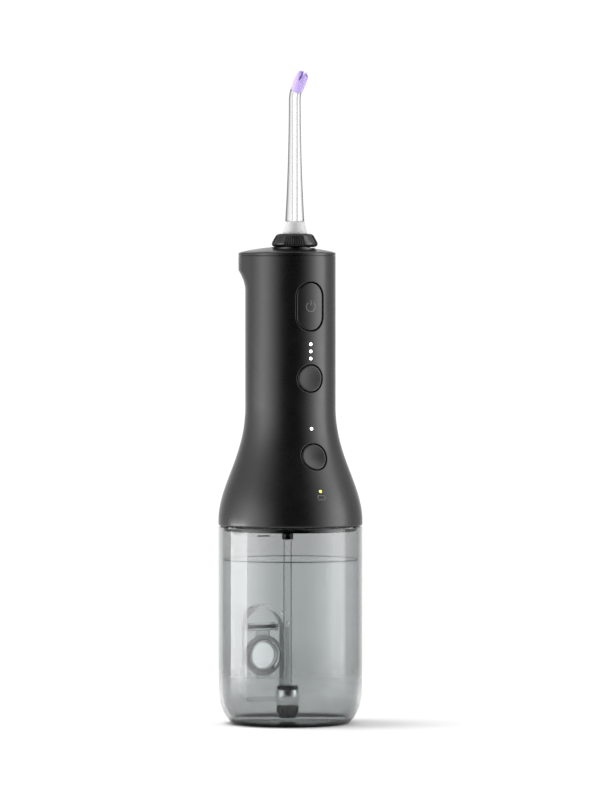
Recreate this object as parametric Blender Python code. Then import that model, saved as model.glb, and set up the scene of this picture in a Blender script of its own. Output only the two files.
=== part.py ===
"""Cordless water flosser: tank, handle with pump, and a turning nozzle.

Metres, +Z up. The origin is the centre of the tank's foot. The buttons face -Y.
"""
import math

import bmesh
import bpy
from mathutils import Matrix, Vector

MM = 0.001
GAP = 0.3 * MM             # clearance between touching pieces
RUNNING = 0.45 * MM        # clearance round a button in its hole
COARSE = 40                # sides of the large turned pieces
SHAFT_SIDES = 16           # sides of the nozzle's clear shaft
FINE = 20                  # sides of the small turned pieces
FLARE_STEPS = 9            # straight runs that stand for the flare's curve
TINY = 10                  # sides of pins and screws

# Tank
TANK_RADIUS = 33.0 * MM
TANK_HEIGHT = 90.2 * MM
TANK_WALL = 2.0 * MM
TANK_FLOOR = 1.8 * MM
TANK_CORNER = 19.0 * MM    # radius of the curve between wall and foot
CORNER_START = 14.0 * MM
FOOT_WIDTH = 3.0 * MM
FOOT_RECESS = 0.3 * MM

# Fill port in the back of the tank
PORT_DEPTH = 6.0 * MM
PORT_WIDTH = 20.0 * MM
PORT_BOTTOM = 10.0 * MM
PORT_TOP = 53.0 * MM
FILL_HOLE_RADIUS = 7.25 * MM
FILL_HOLE_Z = 29.5 * MM
CAP_RADIUS = 9.5 * MM
CAP_THICKNESS = 2.0 * MM
CAP_HINGE_Z = 42.5 * MM
CAP_HINGE_DEPTH = 2.6 * MM   # from the port's floor out to the pin
CAP_PIN_RADIUS = 0.8 * MM
CAP_KNUCKLE_RADIUS = 1.8 * MM
CAP_KNUCKLE_WIDTH = 9.8 * MM
CAP_EAR_WIDTH = 2.0 * MM
CAP_TAB_REACH = 1.5 * MM     # of the finger tab below the disc

# Handle shell; heights in it are measured up from its lower edge
FLARE_START = 2.0 * MM
FLARE_HEIGHT = 52.5 * MM
FLARE_LOWER_PULL = 17.0 * MM   # lengths of the flare curve's two tangents
FLARE_UPPER_PULL = 23.0 * MM
NECK_RADIUS = 20.7 * MM
HANDLE_WALL = 2.0 * MM
SHELL_HEIGHT = 123.5 * MM
LIP_OVERHANG = 7.0 * MM
LIP_BAND = 6.6 * MM            # upright band of the lip below the shell's top
LIP_BLEND = 9.4 * MM           # height over which the lip runs out into the neck
LIP_POWER = 1.9
COVER_EDGE = 1.5 * MM
COVER_RISE = 2.8 * MM
COVER_WALL = 2.0 * MM
COVER_CHAMFER = 0.4 * MM
HANDLE_EDGE = 1.0 * MM         # rounding of the handle's lower edge

# Base plate, seal and suction hose
SPIGOT_DEPTH = 2.1 * MM
BASE_THICKNESS = 4.4 * MM
SEAL_HEIGHT = 0.9 * MM
SEAL_SECTION = 1.2 * MM
HOSE_Y = 2.9 * MM
HOSE_RADIUS = 1.8 * MM
SOCKET_RADIUS = 2.6 * MM
SOCKET_LENGTH = 4.1 * MM
WEIGHT_RADIUS = 5.1 * MM
WEIGHT_BOTTOM = 2.2 * MM
STRAINER_HEIGHT = 5.4 * MM
SLEEVE_HEIGHT = 7.2 * MM
WEIGHT_CAP_HEIGHT = 1.8 * MM
WEIGHT_CAP_TAPER = 0.6 * MM
SLEEVE_WALL = 1.2 * MM
STRAINER_TAPER = 3.6 * MM

# Controls on the front
POWER_HEIGHT_UP = 100.3 * MM
POWER_WIDTH = 13.0 * MM
POWER_HEIGHT = 21.8 * MM
INTENSITY_HEIGHT_UP = 67.6 * MM
MODE_HEIGHT_UP = 32.1 * MM
ROUND_BUTTON_RADIUS = 6.0 * MM
DISH_RADIUS = 13.0 * MM
DISH_DEPTH = 1.0 * MM
BUTTON_THICKNESS = 2.6 * MM
BUTTON_TRAVEL = 0.8 * MM
GUIDE_RADIUS = 0.8 * MM
GUIDE_HEIGHT_UP = 83.2 * MM    # of the highest intensity lamp
GUIDE_PITCH = 3.25 * MM
MODE_LIGHT_HEIGHT_UP = 44.8 * MM
BATTERY_LIGHT_HEIGHT_UP = 16.6 * MM

# Nozzle and collar
NOZZLE_Y = -4.4 * MM
COLLAR_LIFT = 2.4 * MM        # of the collar's foot above the cover's rim
COLLAR_HEIGHT = 6.2 * MM
COLLAR_BASE_RADIUS = 9.3 * MM
COLLAR_WIDE_RADIUS = 10.6 * MM
COLLAR_TOP_RADIUS = 7.6 * MM
COLLAR_WALL = 1.3 * MM
COLLAR_SKIRT = 5.0 * MM
COLLAR_FOOT = 0.7 * MM        # height of the foot's chamfer
COLLAR_CROWN = 0.8 * MM       # height of the rounding under the top
SOCKET_SHOULDER = 0.4 * MM    # by which the socket is smaller than the collar's bore
SOCKET_FOOT = 1.2 * MM
SEAL_GROOVE = 1.0 * MM        # depth of the groove in the socket's bore
SEAL_THICKNESS = 1.4 * MM
NOZZLE_BASE_RADIUS = 5.6 * MM
CONE_TOP_RADIUS = 4.5 * MM
CONE_HEIGHT = 5.5 * MM
NIPPLE_RADIUS = 2.8 * MM
NIPPLE_LENGTH = 6.0 * MM
NOZZLE_BORE = 1.1 * MM
SHAFT_FOOT_RADIUS = 4.4 * MM
SHAFT_END_RADIUS = 2.7 * MM
SHAFT_STRAIGHT = 56.0 * MM    # from the cone's top to the start of the bend
BEND_ANGLE = math.radians(41)
BEND_RADIUS = 7.0 * MM
SHAFT_END = 1.5 * MM          # straight end past the bend
TIP_RADIUS = 2.95 * MM
TIP_LENGTH = 8.2 * MM
TIP_SLOT_WIDTH = 0.8 * MM
TIP_SLOT_DEPTH = 2.5 * MM

# Inside the handle
BOARD_DEPTH = 7.1 * MM        # from the neck's front in to the board
BOARD_THICKNESS = 1.2 * MM
BOARD_WIDTH = 21.0 * MM
BOARD_START = 15.5 * MM
BOARD_LENGTH = 96.0 * MM
SWITCH_HEIGHT = 0.8 * MM
SWITCH_SIZE = 5.0 * MM
DECK_START = 12.0 * MM
DECK_THICKNESS = 2.5 * MM
DECK_MARGIN = 2.4 * MM        # between deck and shell
MOTOR_Y = 6.0 * MM
MOTOR_RADIUS = 12.0 * MM
MOTOR_LENGTH = 30.0 * MM
CELL_CLEARANCE = 0.65 * MM    # between cell and the hose that drops from the socket
CELL_RADIUS = 9.15 * MM
CELL_HEADROOM = 3.9 * MM      # between the cell's top and the socket's floor
SHELF_THICKNESS = 2.3 * MM
RAIL_WIDTH = 2.0 * MM
RAIL_DEPTH = 2.5 * MM
CLIP_WALL = 1.5 * MM
CLIP_HEIGHT = 8.0 * MM
SHAFT_RADIUS = 1.0 * MM
GEAR_MODULE = 0.8 * MM
PINION_TEETH = 8
GEAR_TEETH = 24
GEAR_THICKNESS = 2.8 * MM
ECCENTRIC_RADIUS = 3.2 * MM
CRANK = 1.2 * MM
YOKE_HEIGHT = 3.6 * MM
YOKE_WALL = 1.5 * MM
PISTON_RADIUS = 2.5 * MM
PISTON_LENGTH = 4.0 * MM
CYLINDER_WALL = 1.2 * MM
VALVE_BLOCK_SIZE = 5.0 * MM
PIPE_RADIUS = 1.9 * MM
NIPPLE_STEP = 1.5 * MM     # length of a hose nipple
NIPPLE_BORE = 1.0 * MM
SCREW_RADIUS = 1.2 * MM
SCREW_HEAD = 2.2 * MM
MOTOR_SCREW_HEAD = 1.2 * MM
MOTOR_SCREW_REACH = 2.5 * MM  # of the screws into the motor
MOTOR_SCREW_X = 8.0 * MM
MOTOR_CHAMFER = 0.5 * MM
BLIND_END = 0.5 * MM          # left closed at the end of a blind bore
CELL_STEP = 1.2 * MM          # height of the cell's terminal
CELL_TERMINAL = 2.5 * MM
PISTON_ROD_RADIUS = 1.2 * MM
VALVE_LENGTH = 1.5 * MM
BASE_SCREW_CIRCLE = 20.0 * MM
BASE_SCREW_ANGLES = (80, 190, 300)

# Charging port in the back of the handle
CHARGE_HEIGHT_UP = 21.5 * MM
CHARGE_WIDTH = 12.4 * MM
CHARGE_HEIGHT = 8.0 * MM
CHARGE_COVER = 1.5 * MM
PLUG_WIDTH = 9.0 * MM
PLUG_HEIGHT = 3.2 * MM
PLUG_DEPTH = 4.5 * MM

# Places that follow from the sizes above
HANDLE_BOTTOM = TANK_HEIGHT + GAP
FLARE_BOTTOM = HANDLE_BOTTOM + FLARE_START
FLARE_TOP = FLARE_BOTTOM + FLARE_HEIGHT
SHELL_TOP = HANDLE_BOTTOM + SHELL_HEIGHT
LIP_CORNER = SHELL_TOP - LIP_BAND
LIP_BOTTOM = LIP_CORNER - LIP_BLEND
COVER_RIM = SHELL_TOP + COVER_EDGE
COVER_PEAK = COVER_RIM + COVER_RISE
POWER_Z = HANDLE_BOTTOM + POWER_HEIGHT_UP
INTENSITY_Z = HANDLE_BOTTOM + INTENSITY_HEIGHT_UP
MODE_Z = HANDLE_BOTTOM + MODE_HEIGHT_UP
MODE_LIGHT_Z = HANDLE_BOTTOM + MODE_LIGHT_HEIGHT_UP
BATTERY_LIGHT_Z = HANDLE_BOTTOM + BATTERY_LIGHT_HEIGHT_UP
CHARGE_Z = HANDLE_BOTTOM + CHARGE_HEIGHT_UP
COLLAR_BOTTOM = COVER_RIM + COLLAR_LIFT
BOARD_FRONT = BOARD_DEPTH - NECK_RADIUS
BOARD_BOTTOM = HANDLE_BOTTOM + BOARD_START
BOARD_TOP = BOARD_BOTTOM + BOARD_LENGTH
DECK_BOTTOM = HANDLE_BOTTOM + DECK_START
CELL_Y = NOZZLE_Y + PIPE_RADIUS + CELL_CLEARANCE + CELL_RADIUS
TANK_BORE = TANK_RADIUS - TANK_WALL
SPIGOT_RADIUS = TANK_BORE - 2 * GAP
BASE_BOTTOM = TANK_HEIGHT - SPIGOT_DEPTH
BASE_TOP = BASE_BOTTOM + BASE_THICKNESS
SOCKET_BOTTOM = BASE_BOTTOM - SOCKET_LENGTH
SHELL_BORE = SPIGOT_RADIUS + 2 * GAP
PORT_FLOOR = TANK_RADIUS - PORT_DEPTH
CAP_HINGE_Y = PORT_FLOOR + CAP_HINGE_DEPTH
SLEEVE_BOTTOM = WEIGHT_BOTTOM + STRAINER_HEIGHT + GAP
WEIGHT_CAP_BOTTOM = SLEEVE_BOTTOM + SLEEVE_HEIGHT + GAP
HOSE_BOTTOM = WEIGHT_CAP_BOTTOM + WEIGHT_CAP_HEIGHT + GAP
HOSE_TOP = SOCKET_BOTTOM - GAP
COLLAR_TOP = COLLAR_BOTTOM + COLLAR_HEIGHT
COLLAR_BORE = NOZZLE_BASE_RADIUS + GAP
SKIRT_RADIUS = COLLAR_BORE + COLLAR_WALL
CONE_TOP = COLLAR_TOP + CONE_HEIGHT
NOZZLE_SEAT = COLLAR_BOTTOM - COLLAR_SKIRT
NIPPLE_BOTTOM = NOZZLE_SEAT - NIPPLE_LENGTH
SOCKET_TOP = NOZZLE_SEAT - GAP
SOCKET_BORE = NIPPLE_RADIUS + GAP
SOCKET_FLOOR = NIPPLE_BOTTOM - GAP
DECK_TOP = DECK_BOTTOM + DECK_THICKNESS
MOTOR_BOTTOM = DECK_TOP + GAP
MOTOR_TOP = MOTOR_BOTTOM + MOTOR_LENGTH
CELL_BOTTOM = MOTOR_TOP + SHELF_THICKNESS + 2 * GAP
CELL_LENGTH = SOCKET_FLOOR - CELL_HEADROOM - CELL_BOTTOM
GEAR_TOP = DECK_BOTTOM - 2 * GAP
GEAR_BOTTOM = GEAR_TOP - GEAR_THICKNESS
PINION_PITCH = GEAR_MODULE * PINION_TEETH / 2
GEAR_PITCH = GEAR_MODULE * GEAR_TEETH / 2
GEAR_Y = MOTOR_Y - PINION_PITCH - GEAR_PITCH
YOKE_TOP = GEAR_BOTTOM - GAP
YOKE_BOTTOM = YOKE_TOP - YOKE_HEIGHT
PISTON_Z = (YOKE_TOP + YOKE_BOTTOM) / 2
WINDOW_HALF_X = ECCENTRIC_RADIUS + 2 * CRANK + GAP
WINDOW_HALF_Y = ECCENTRIC_RADIUS + CRANK + GAP
YOKE_HALF_X = WINDOW_HALF_X + YOKE_WALL
YOKE_HALF_Y = WINDOW_HALF_Y + YOKE_WALL
CYLINDER_START = max(YOKE_HALF_X + CRANK, GEAR_PITCH + GEAR_MODULE) + 2 * GAP
PISTON_START = CYLINDER_START + CRANK + GAP
CYLINDER_END = PISTON_START + PISTON_LENGTH + CRANK + 2 * GAP
CYLINDER_RADIUS = PISTON_RADIUS + GAP + CYLINDER_WALL
BLOCK_START = CYLINDER_END + GAP
BLOCK_X = BLOCK_START + VALVE_BLOCK_SIZE / 2
BLOCK_TOP = PISTON_Z + VALVE_BLOCK_SIZE
BOARD_BACK = BOARD_FRONT + BOARD_THICKNESS
SWITCH_FRONT = BOARD_FRONT - GAP - SWITCH_HEIGHT
PLUNGER_END = SWITCH_FRONT - GAP - BUTTON_TRAVEL
RAIL_FRONT = BOARD_BACK + GAP
RAIL_X = BOARD_WIDTH / 2 - RAIL_WIDTH / 2
FRAME_TOP = CELL_BOTTOM + CELL_LENGTH + GAP


def clear_scene():
    for old in list(bpy.data.objects):
        bpy.data.objects.remove(old, do_unlink=True)


# Materials

def material(name, colour, roughness, metallic=0.0, alpha=1.0):
    made = bpy.data.materials.new(name)
    made.use_nodes = True
    shader = made.node_tree.nodes["Principled BSDF"]
    shader.inputs["Base Color"].default_value = (*colour, 1.0)
    shader.inputs["Roughness"].default_value = roughness
    shader.inputs["Metallic"].default_value = metallic
    shader.inputs["Alpha"].default_value = alpha
    return made


def clear_plastic():
    return material("clear_plastic", (0.78, 0.81, 0.81), 0.08, alpha=0.35)


def matte_black():
    return material("matte_black", (0.028, 0.028, 0.028), 0.42)


def gloss_black():
    return material("gloss_black", (0.012, 0.012, 0.013), 0.12)


def black_rubber():
    return material("black_rubber", (0.02, 0.02, 0.02), 0.7)


def grey_silicone():
    return material("grey_silicone", (0.55, 0.57, 0.57), 0.35)


def lilac_silicone():
    return material("lilac_silicone", (0.38, 0.27, 0.58), 0.4)


def frosted_white():
    return material("frosted_white", (0.8, 0.8, 0.8), 0.3)


def internal_plastic():
    return material("internal_plastic", (0.6, 0.6, 0.58), 0.5)


def nylon():
    return material("nylon", (0.75, 0.73, 0.66), 0.45)


def bare_steel():
    return material("bare_steel", (0.62, 0.62, 0.62), 0.2, 1.0)


def board_green():
    return material("board_green", (0.02, 0.16, 0.07), 0.45)


def cell_wrap():
    return material("cell_wrap", (0.05, 0.2, 0.42), 0.4)


# Modelling helpers

def finish_mesh(bm, name):
    bmesh.ops.remove_doubles(bm, verts=bm.verts, dist=1e-7)
    bm.normal_update()
    centres = [v for v in bm.verts if v.co.xy.length < 1e-9 and len(v.link_faces) > 4
               and min(abs(f.normal.z) for f in v.link_faces) > 1 - 1e-6]
    bmesh.ops.dissolve_verts(bm, verts=centres)
    bmesh.ops.recalc_face_normals(bm, faces=bm.faces)
    if bm.calc_volume(signed=True) < 0:
        bmesh.ops.reverse_faces(bm, faces=bm.faces)
    mesh = bpy.data.meshes.new(name)
    bm.to_mesh(mesh)
    bm.free()
    mesh.shade_smooth()
    mesh.set_sharp_from_angle(angle=math.radians(32))
    return mesh


def place(name, mesh, finish=None, at=(0, 0, 0), turn=(0, 0, 0)):
    item = bpy.data.objects.new(name, mesh)
    bpy.context.scene.collection.objects.link(item)
    item.location = at
    item.rotation_euler = turn
    if finish:
        mesh.materials.append(finish)
    return item


def turned(name, profile, sides, finish=None, at=(0, 0, 0), turn=(0, 0, 0)):
    """Spin a closed (radius, height) outline about Z."""
    bm = bmesh.new()
    verts = [bm.verts.new((radius, 0, height)) for radius, height in profile]
    edges = [bm.edges.new((a, b)) for a, b in zip(verts, verts[1:])]
    if profile[0][0] > 0:
        edges.append(bm.edges.new((verts[-1], verts[0])))
    bmesh.ops.spin(bm, geom=verts + edges, axis=(0, 0, 1), cent=(0, 0, 0),
                   angle=math.tau, steps=sides, use_merge=True)
    return place(name, finish_mesh(bm, name), finish, at, turn)


def drum(radius, low, high):
    """Outline of a plain solid cylinder."""
    return [(0, low), (radius, low), (radius, high), (0, high)]


def tube(inner, outer, low, high):
    """Outline of a plain ring or pipe."""
    return [(inner, low), (outer, low), (outer, high), (inner, high)]


def stacked(name, rings, finish=None, capped=False):
    """Join rings of points; a closed chain of them makes a wall with a hole through it."""
    bm = bmesh.new()
    loops = [[bm.verts.new(point) for point in ring] for ring in rings]
    pairs = list(zip(loops, loops[1:]))
    if not capped:
        pairs.append((loops[-1], loops[0]))
    for lower, upper in pairs:
        for i in range(len(lower)):
            j = (i + 1) % len(lower)
            bm.faces.new((lower[i], lower[j], upper[j], upper[i]))
    if capped:
        bm.faces.new(loops[0])
        bm.faces.new(loops[-1])
    return place(name, finish_mesh(bm, name), finish)


def extruded(name, outline, low, high, finish=None, at=(0, 0, 0), turn=(0, 0, 0)):
    """Push an (x, y) outline from height low to height high."""
    bm = bmesh.new()
    face = bm.faces.new([bm.verts.new((x, y, low)) for x, y in outline])
    walls = bmesh.ops.extrude_face_region(bm, geom=[face])["geom"]
    moved = [part for part in walls if isinstance(part, bmesh.types.BMVert)]
    bmesh.ops.translate(bm, verts=moved, vec=(0, 0, high - low))
    return place(name, finish_mesh(bm, name), finish, at, turn)


def block(name, size, finish=None, at=(0, 0, 0), turn=(0, 0, 0)):
    bm = bmesh.new()
    bmesh.ops.create_cube(bm, size=1.0)
    bmesh.ops.scale(bm, verts=bm.verts, vec=size)
    return place(name, finish_mesh(bm, name), finish, at, turn)


def span(name, low, high, finish=None):
    """A block between two corners."""
    low, high = Vector(low), Vector(high)
    return block(name, high - low, finish, (low + high) / 2)


def boolean(target, tool, operation):
    """Combine two solids and leave the tool hidden."""
    step = target.modifiers.new(operation.lower(), "BOOLEAN")
    step.operation = operation
    step.solver = "EXACT"
    step.object = tool
    tool.hide_render = True
    tool.display_type = "WIRE"
    return target


def cut(target, *tools):
    for tool in tools:
        boolean(target, tool, "DIFFERENCE")
    return target


def join(target, *tools):
    for tool in tools:
        boolean(target, tool, "UNION")
    return target


def keep(target, tool):
    return boolean(target, tool, "INTERSECT")


def arc(centre, radius, start, end, steps):
    """Points of a circular arc between two angles."""
    points = []
    for i in range(steps + 1):
        angle = start + (end - start) * i / steps
        points.append((centre[0] + radius * math.cos(angle), centre[1] + radius * math.sin(angle)))
    return points


def slot_outline(width, height, steps=8):
    """An upright oblong with round ends, or a round hole where the two sizes match."""
    radius = width / 2
    rise = max(height / 2 - radius, 0.0)
    top = arc((0, rise), radius, 0, math.pi, steps)
    bottom = arc((0, -rise), radius, math.pi, math.tau, steps)
    return top + bottom if rise > 0 else top[:-1] + bottom[:-1]


def circle_outline(radius, sides):
    return [(radius * math.cos(math.tau * i / sides), radius * math.sin(math.tau * i / sides))
            for i in range(sides)]


# Shape of the handle's skin

def flare_point(t):
    """Point of the flare between tank and neck: a cubic curve, upright at both ends."""
    corners = ((TANK_RADIUS, FLARE_BOTTOM), (TANK_RADIUS, FLARE_BOTTOM + FLARE_LOWER_PULL),
               (NECK_RADIUS, FLARE_TOP - FLARE_UPPER_PULL), (NECK_RADIUS, FLARE_TOP))
    weights = ((1 - t) ** 3, 3 * t * (1 - t) ** 2, 3 * t * t * (1 - t), t ** 3)
    return tuple(sum(w * c[i] for w, c in zip(weights, corners)) for i in (0, 1))


def skin_radius(height):
    """Outer radius of the handle at a height."""
    if height <= FLARE_BOTTOM:
        return TANK_RADIUS
    if height >= FLARE_TOP:
        return NECK_RADIUS
    low, high = 0.0, 1.0
    for _ in range(30):
        middle = (low + high) / 2
        if flare_point(middle)[1] < height:
            low = middle
        else:
            high = middle
    return flare_point(low)[0]


def skin_tilt(height):
    """Lean of the handle's skin from upright at a height."""
    step = 0.5 * MM
    return math.atan2(skin_radius(height - step) - skin_radius(height + step), 2 * step)


def lip_shift(height):
    """How far the back of the neck's outline stands out at a height."""
    rise = (height - LIP_BOTTOM) / (LIP_CORNER - LIP_BOTTOM)
    return LIP_OVERHANG * min(max(rise, 0.0), 1.0) ** LIP_POWER


def neck_ring(radius, shift, height):
    """A circle whose back half is moved back by shift."""
    ring = []
    for x, y in circle_outline(radius, COARSE):
        ring.append((x, y + (shift if y > 1e-9 else 0.0), height))
    return ring


def skin_heights():
    flare = [flare_point(i / FLARE_STEPS)[1] for i in range(FLARE_STEPS + 1)]
    lip = [LIP_BOTTOM + (LIP_CORNER - LIP_BOTTOM) * i / 4 for i in range(5)]
    return flare + lip


def skin_body(name, outset, depth):
    """The handle's skin from outset outside it to depth inside it, as a cutting solid."""
    outer = [(skin_radius(z) + outset, z) for z in skin_heights()]
    inner = [(skin_radius(z) - depth, z) for z in reversed(skin_heights())]
    return turned(name, outer + inner, 2 * COARSE)


def skin_patch(name, outline, height, depth, finish, back=False):
    """A button or flap: an outline pushed through the skin, flush with it."""
    tilt = skin_tilt(height)
    reach = 3 * depth + 4 * MM
    angle = math.pi / 2 - tilt if not back else math.pi / 2 + tilt
    centre = (0, skin_radius(height) * (1 if back else -1), height)
    patch = extruded(name, outline, -reach, reach, finish, centre, (angle, 0, 0))
    return keep(patch, skin_body(name + "_skin", 0.0, depth))


def skin_hole(name, outline, height, back=False):
    tilt = skin_tilt(height)
    angle = math.pi / 2 - tilt if not back else math.pi / 2 + tilt
    centre = (0, skin_radius(height) * (1 if back else -1), height)
    return extruded(name, outline, -3 * HANDLE_WALL, 3 * HANDLE_WALL, None, centre, (angle, 0, 0))


# Tank

def tank_outline(inset):
    """Half outline of the tank's outside, moved inwards by inset."""
    radius = TANK_CORNER - inset
    centre = (TANK_RADIUS - TANK_CORNER, CORNER_START)
    floor = inset and TANK_FLOOR
    start = -math.asin(min((CORNER_START - floor) / radius, 1.0))
    return arc(centre, radius, start, 0, 8)


def reservoir(finish):
    outside = tank_outline(0)
    foot = outside[0][0] - FOOT_WIDTH
    inside = tank_outline(TANK_WALL)
    profile = [(0, FOOT_RECESS), (foot, FOOT_RECESS), (foot, 0.0)]
    profile += outside + [(TANK_RADIUS, TANK_HEIGHT), (TANK_BORE, TANK_HEIGHT)]
    profile += list(reversed(inside)) + [(0, TANK_FLOOR)]
    tank = turned("reservoir", profile, COARSE, finish)
    join(tank, port_boss())
    cut(tank, port_recess(), fill_hole())
    join(tank, *[hinge_ear(side) for side in (-1, 1)])
    return cut(tank, hinge_bore())


def arch(width, bottom, top):
    """Outline of a window with a round top, in (x, height)."""
    radius = width / 2
    return [(radius, bottom)] + arc((0, top - radius), radius, 0, math.pi, 12) + [(-radius, bottom)]


def port_boss():
    """The thicker wall behind the port, trimmed to lie within the tank's wall."""
    outline = arch(PORT_WIDTH + 2 * TANK_WALL, PORT_BOTTOM - TANK_WALL, PORT_TOP + TANK_WALL)
    boss = extruded("port_boss", outline, -TANK_RADIUS, TANK_WALL - PORT_FLOOR, None,
                    turn=(math.pi / 2, 0, 0))
    middle = drum(TANK_RADIUS - TANK_WALL / 2, PORT_BOTTOM - 2 * TANK_WALL, PORT_TOP + 2 * TANK_WALL)
    trim = turned("port_boss_trim", middle, COARSE)
    floor_trim = [(0, 0)] + tank_outline(TANK_WALL / 2) + [(TANK_RADIUS - TANK_WALL / 2, TANK_HEIGHT),
                                                         (0, TANK_HEIGHT)]
    keep(boss, trim)
    return keep(boss, turned("port_floor_trim", floor_trim, COARSE))


def port_recess():
    outline = arch(PORT_WIDTH, PORT_BOTTOM, PORT_TOP)
    return extruded("port_recess", outline, -TANK_RADIUS - PORT_DEPTH, -PORT_FLOOR, None,
                    turn=(math.pi / 2, 0, 0))


def fill_hole():
    hole = circle_outline(FILL_HOLE_RADIUS, FINE)
    return extruded("fill_hole", hole, -TANK_RADIUS, 2 * TANK_WALL - PORT_FLOOR, None,
                    (0, 0, FILL_HOLE_Z), (math.pi / 2, 0, 0))


def ear_span(side):
    start = CAP_KNUCKLE_WIDTH / 2 + GAP
    return sorted((side * start, side * (start + CAP_EAR_WIDTH)))


def hinge_ear(side):
    left, right = ear_span(side)
    low = (left, PORT_FLOOR - TANK_WALL / 2, CAP_HINGE_Z - CAP_KNUCKLE_RADIUS)
    high = (right, CAP_HINGE_Y + CAP_KNUCKLE_RADIUS, CAP_HINGE_Z + CAP_KNUCKLE_RADIUS)
    return span(f"hinge_ear_{side}", low, high)


def cross_pin(name, radius, half, y, z, finish=None, sides=TINY):
    """A cylinder along X."""
    return extruded(name, circle_outline(radius, sides), -half, half, finish, (0, y, z),
                    (0, math.pi / 2, 0))


def hinge_bore():
    return cross_pin("hinge_bore", CAP_PIN_RADIUS + GAP, PORT_WIDTH / 2 - GAP, CAP_HINGE_Y, CAP_HINGE_Z)


def fill_cap_pin(finish):
    half = CAP_KNUCKLE_WIDTH / 2 + GAP + CAP_EAR_WIDTH
    return cross_pin("fill_cap_pin", CAP_PIN_RADIUS, half, CAP_HINGE_Y, CAP_HINGE_Z, finish)


def fill_cap(finish):
    """Hinged plug: a tapered plug, a disc with a finger tab, an arm and a knuckle."""
    inner = PORT_FLOOR + GAP
    plug = TANK_WALL - 2 * GAP
    profile = [(0, -CAP_THICKNESS), (CAP_RADIUS, -CAP_THICKNESS), (CAP_RADIUS, 0),
               (FILL_HOLE_RADIUS - GAP, 0), (FILL_HOLE_RADIUS - 2.5 * GAP, plug), (0, plug)]
    cap = turned("fill_cap", profile, FINE, finish, (0, inner - CAP_HINGE_Y, FILL_HOLE_Z - CAP_HINGE_Z),
                 (math.pi / 2, 0, 0))
    hinge = bpy.data.objects.new("fill_cap_hinge", None)
    bpy.context.scene.collection.objects.link(hinge)
    hinge.location = (0, CAP_HINGE_Y, CAP_HINGE_Z)
    cap.parent = hinge
    arm = span("cap_arm", (-CAP_KNUCKLE_WIDTH / 3, PORT_FLOOR + 2.5 * GAP, FILL_HOLE_Z + CAP_RADIUS / 2),
               (CAP_KNUCKLE_WIDTH / 3, CAP_HINGE_Y, CAP_HINGE_Z - CAP_KNUCKLE_RADIUS / 2))
    tab_end = FILL_HOLE_Z - CAP_RADIUS - CAP_TAB_REACH
    tab = span("cap_tab", (-CAP_RADIUS / 3, inner + CAP_THICKNESS / 3, tab_end),
               (CAP_RADIUS / 3, inner + CAP_THICKNESS, FILL_HOLE_Z - CAP_RADIUS / 2))
    knuckle = cross_pin("cap_knuckle", CAP_KNUCKLE_RADIUS, CAP_KNUCKLE_WIDTH / 2, CAP_HINGE_Y, CAP_HINGE_Z)
    join(cap, arm, tab, knuckle)
    bore = cross_pin("cap_bore", CAP_PIN_RADIUS + GAP, CAP_KNUCKLE_WIDTH, CAP_HINGE_Y, CAP_HINGE_Z)
    return cut(cap, bore)


# Handle housing

def handle_shell(finish):
    """One tubular housing from the tank's rim to the lip, open at both ends."""
    outer = [neck_ring(TANK_RADIUS - HANDLE_EDGE * 0.7, 0, HANDLE_BOTTOM),
             neck_ring(TANK_RADIUS - HANDLE_EDGE * 0.2, 0, HANDLE_BOTTOM + HANDLE_EDGE * 0.5)]
    outer += [neck_ring(skin_radius(z), lip_shift(z), z) for z in skin_heights()]
    outer.append(neck_ring(NECK_RADIUS, LIP_OVERHANG, SHELL_TOP))
    inner = [neck_ring(NECK_RADIUS - HANDLE_WALL, LIP_OVERHANG, SHELL_TOP)]
    for z in (LIP_CORNER + HANDLE_WALL, LIP_CORNER, LIP_BOTTOM + 2 * HANDLE_WALL):
        inner.append(neck_ring(NECK_RADIUS - HANDLE_WALL, lip_shift(z - HANDLE_WALL), z))
    lower = min(z for z in skin_heights() if skin_radius(z) - HANDLE_WALL < SHELL_BORE)
    for z in reversed([z for z in skin_heights() if lower <= z < LIP_BOTTOM]):
        inner.append(neck_ring(skin_radius(z) - HANDLE_WALL, 0, z))
    inner.append(neck_ring(SHELL_BORE, 0, lower - 2 * MM))
    inner.append(neck_ring(SHELL_BORE, 0, HANDLE_BOTTOM))
    shell = stacked("handle_shell", outer + inner, finish)
    cut(shell, *control_holes())
    return cut(shell, skin_hole("charge_hole", charge_outline(GAP), CHARGE_Z, back=True))


def control_holes():
    wide, tall = POWER_WIDTH + 2 * RUNNING, POWER_HEIGHT + 2 * RUNNING
    holes = [skin_hole("power_hole", slot_outline(wide, tall), POWER_Z)]
    for label, z in (("intensity", INTENSITY_Z), ("mode", MODE_Z)):
        outline = circle_outline(ROUND_BUTTON_RADIUS + RUNNING, FINE)
        holes.append(skin_hole(label + "_hole", outline, z))
    for i, z in enumerate(intensity_lights() + [MODE_LIGHT_Z, BATTERY_LIGHT_Z]):
        front = BOARD_FRONT + skin_radius(z)
        holes.append(front_rod(f"light_hole_{i}", GUIDE_RADIUS + GAP / 2, z, -front, 3 * MM))
    return holes


def front_rod(name, radius, z, back, front, finish=None):
    """A cylinder along Y through the front skin, from back inside to front outside."""
    surface = (0, -skin_radius(z), z)
    return extruded(name, circle_outline(radius, TINY), back, front, finish, surface, (math.pi / 2, 0, 0))


def intensity_lights():
    return [HANDLE_BOTTOM + GUIDE_HEIGHT_UP - GUIDE_PITCH * i for i in range(3)]


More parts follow.
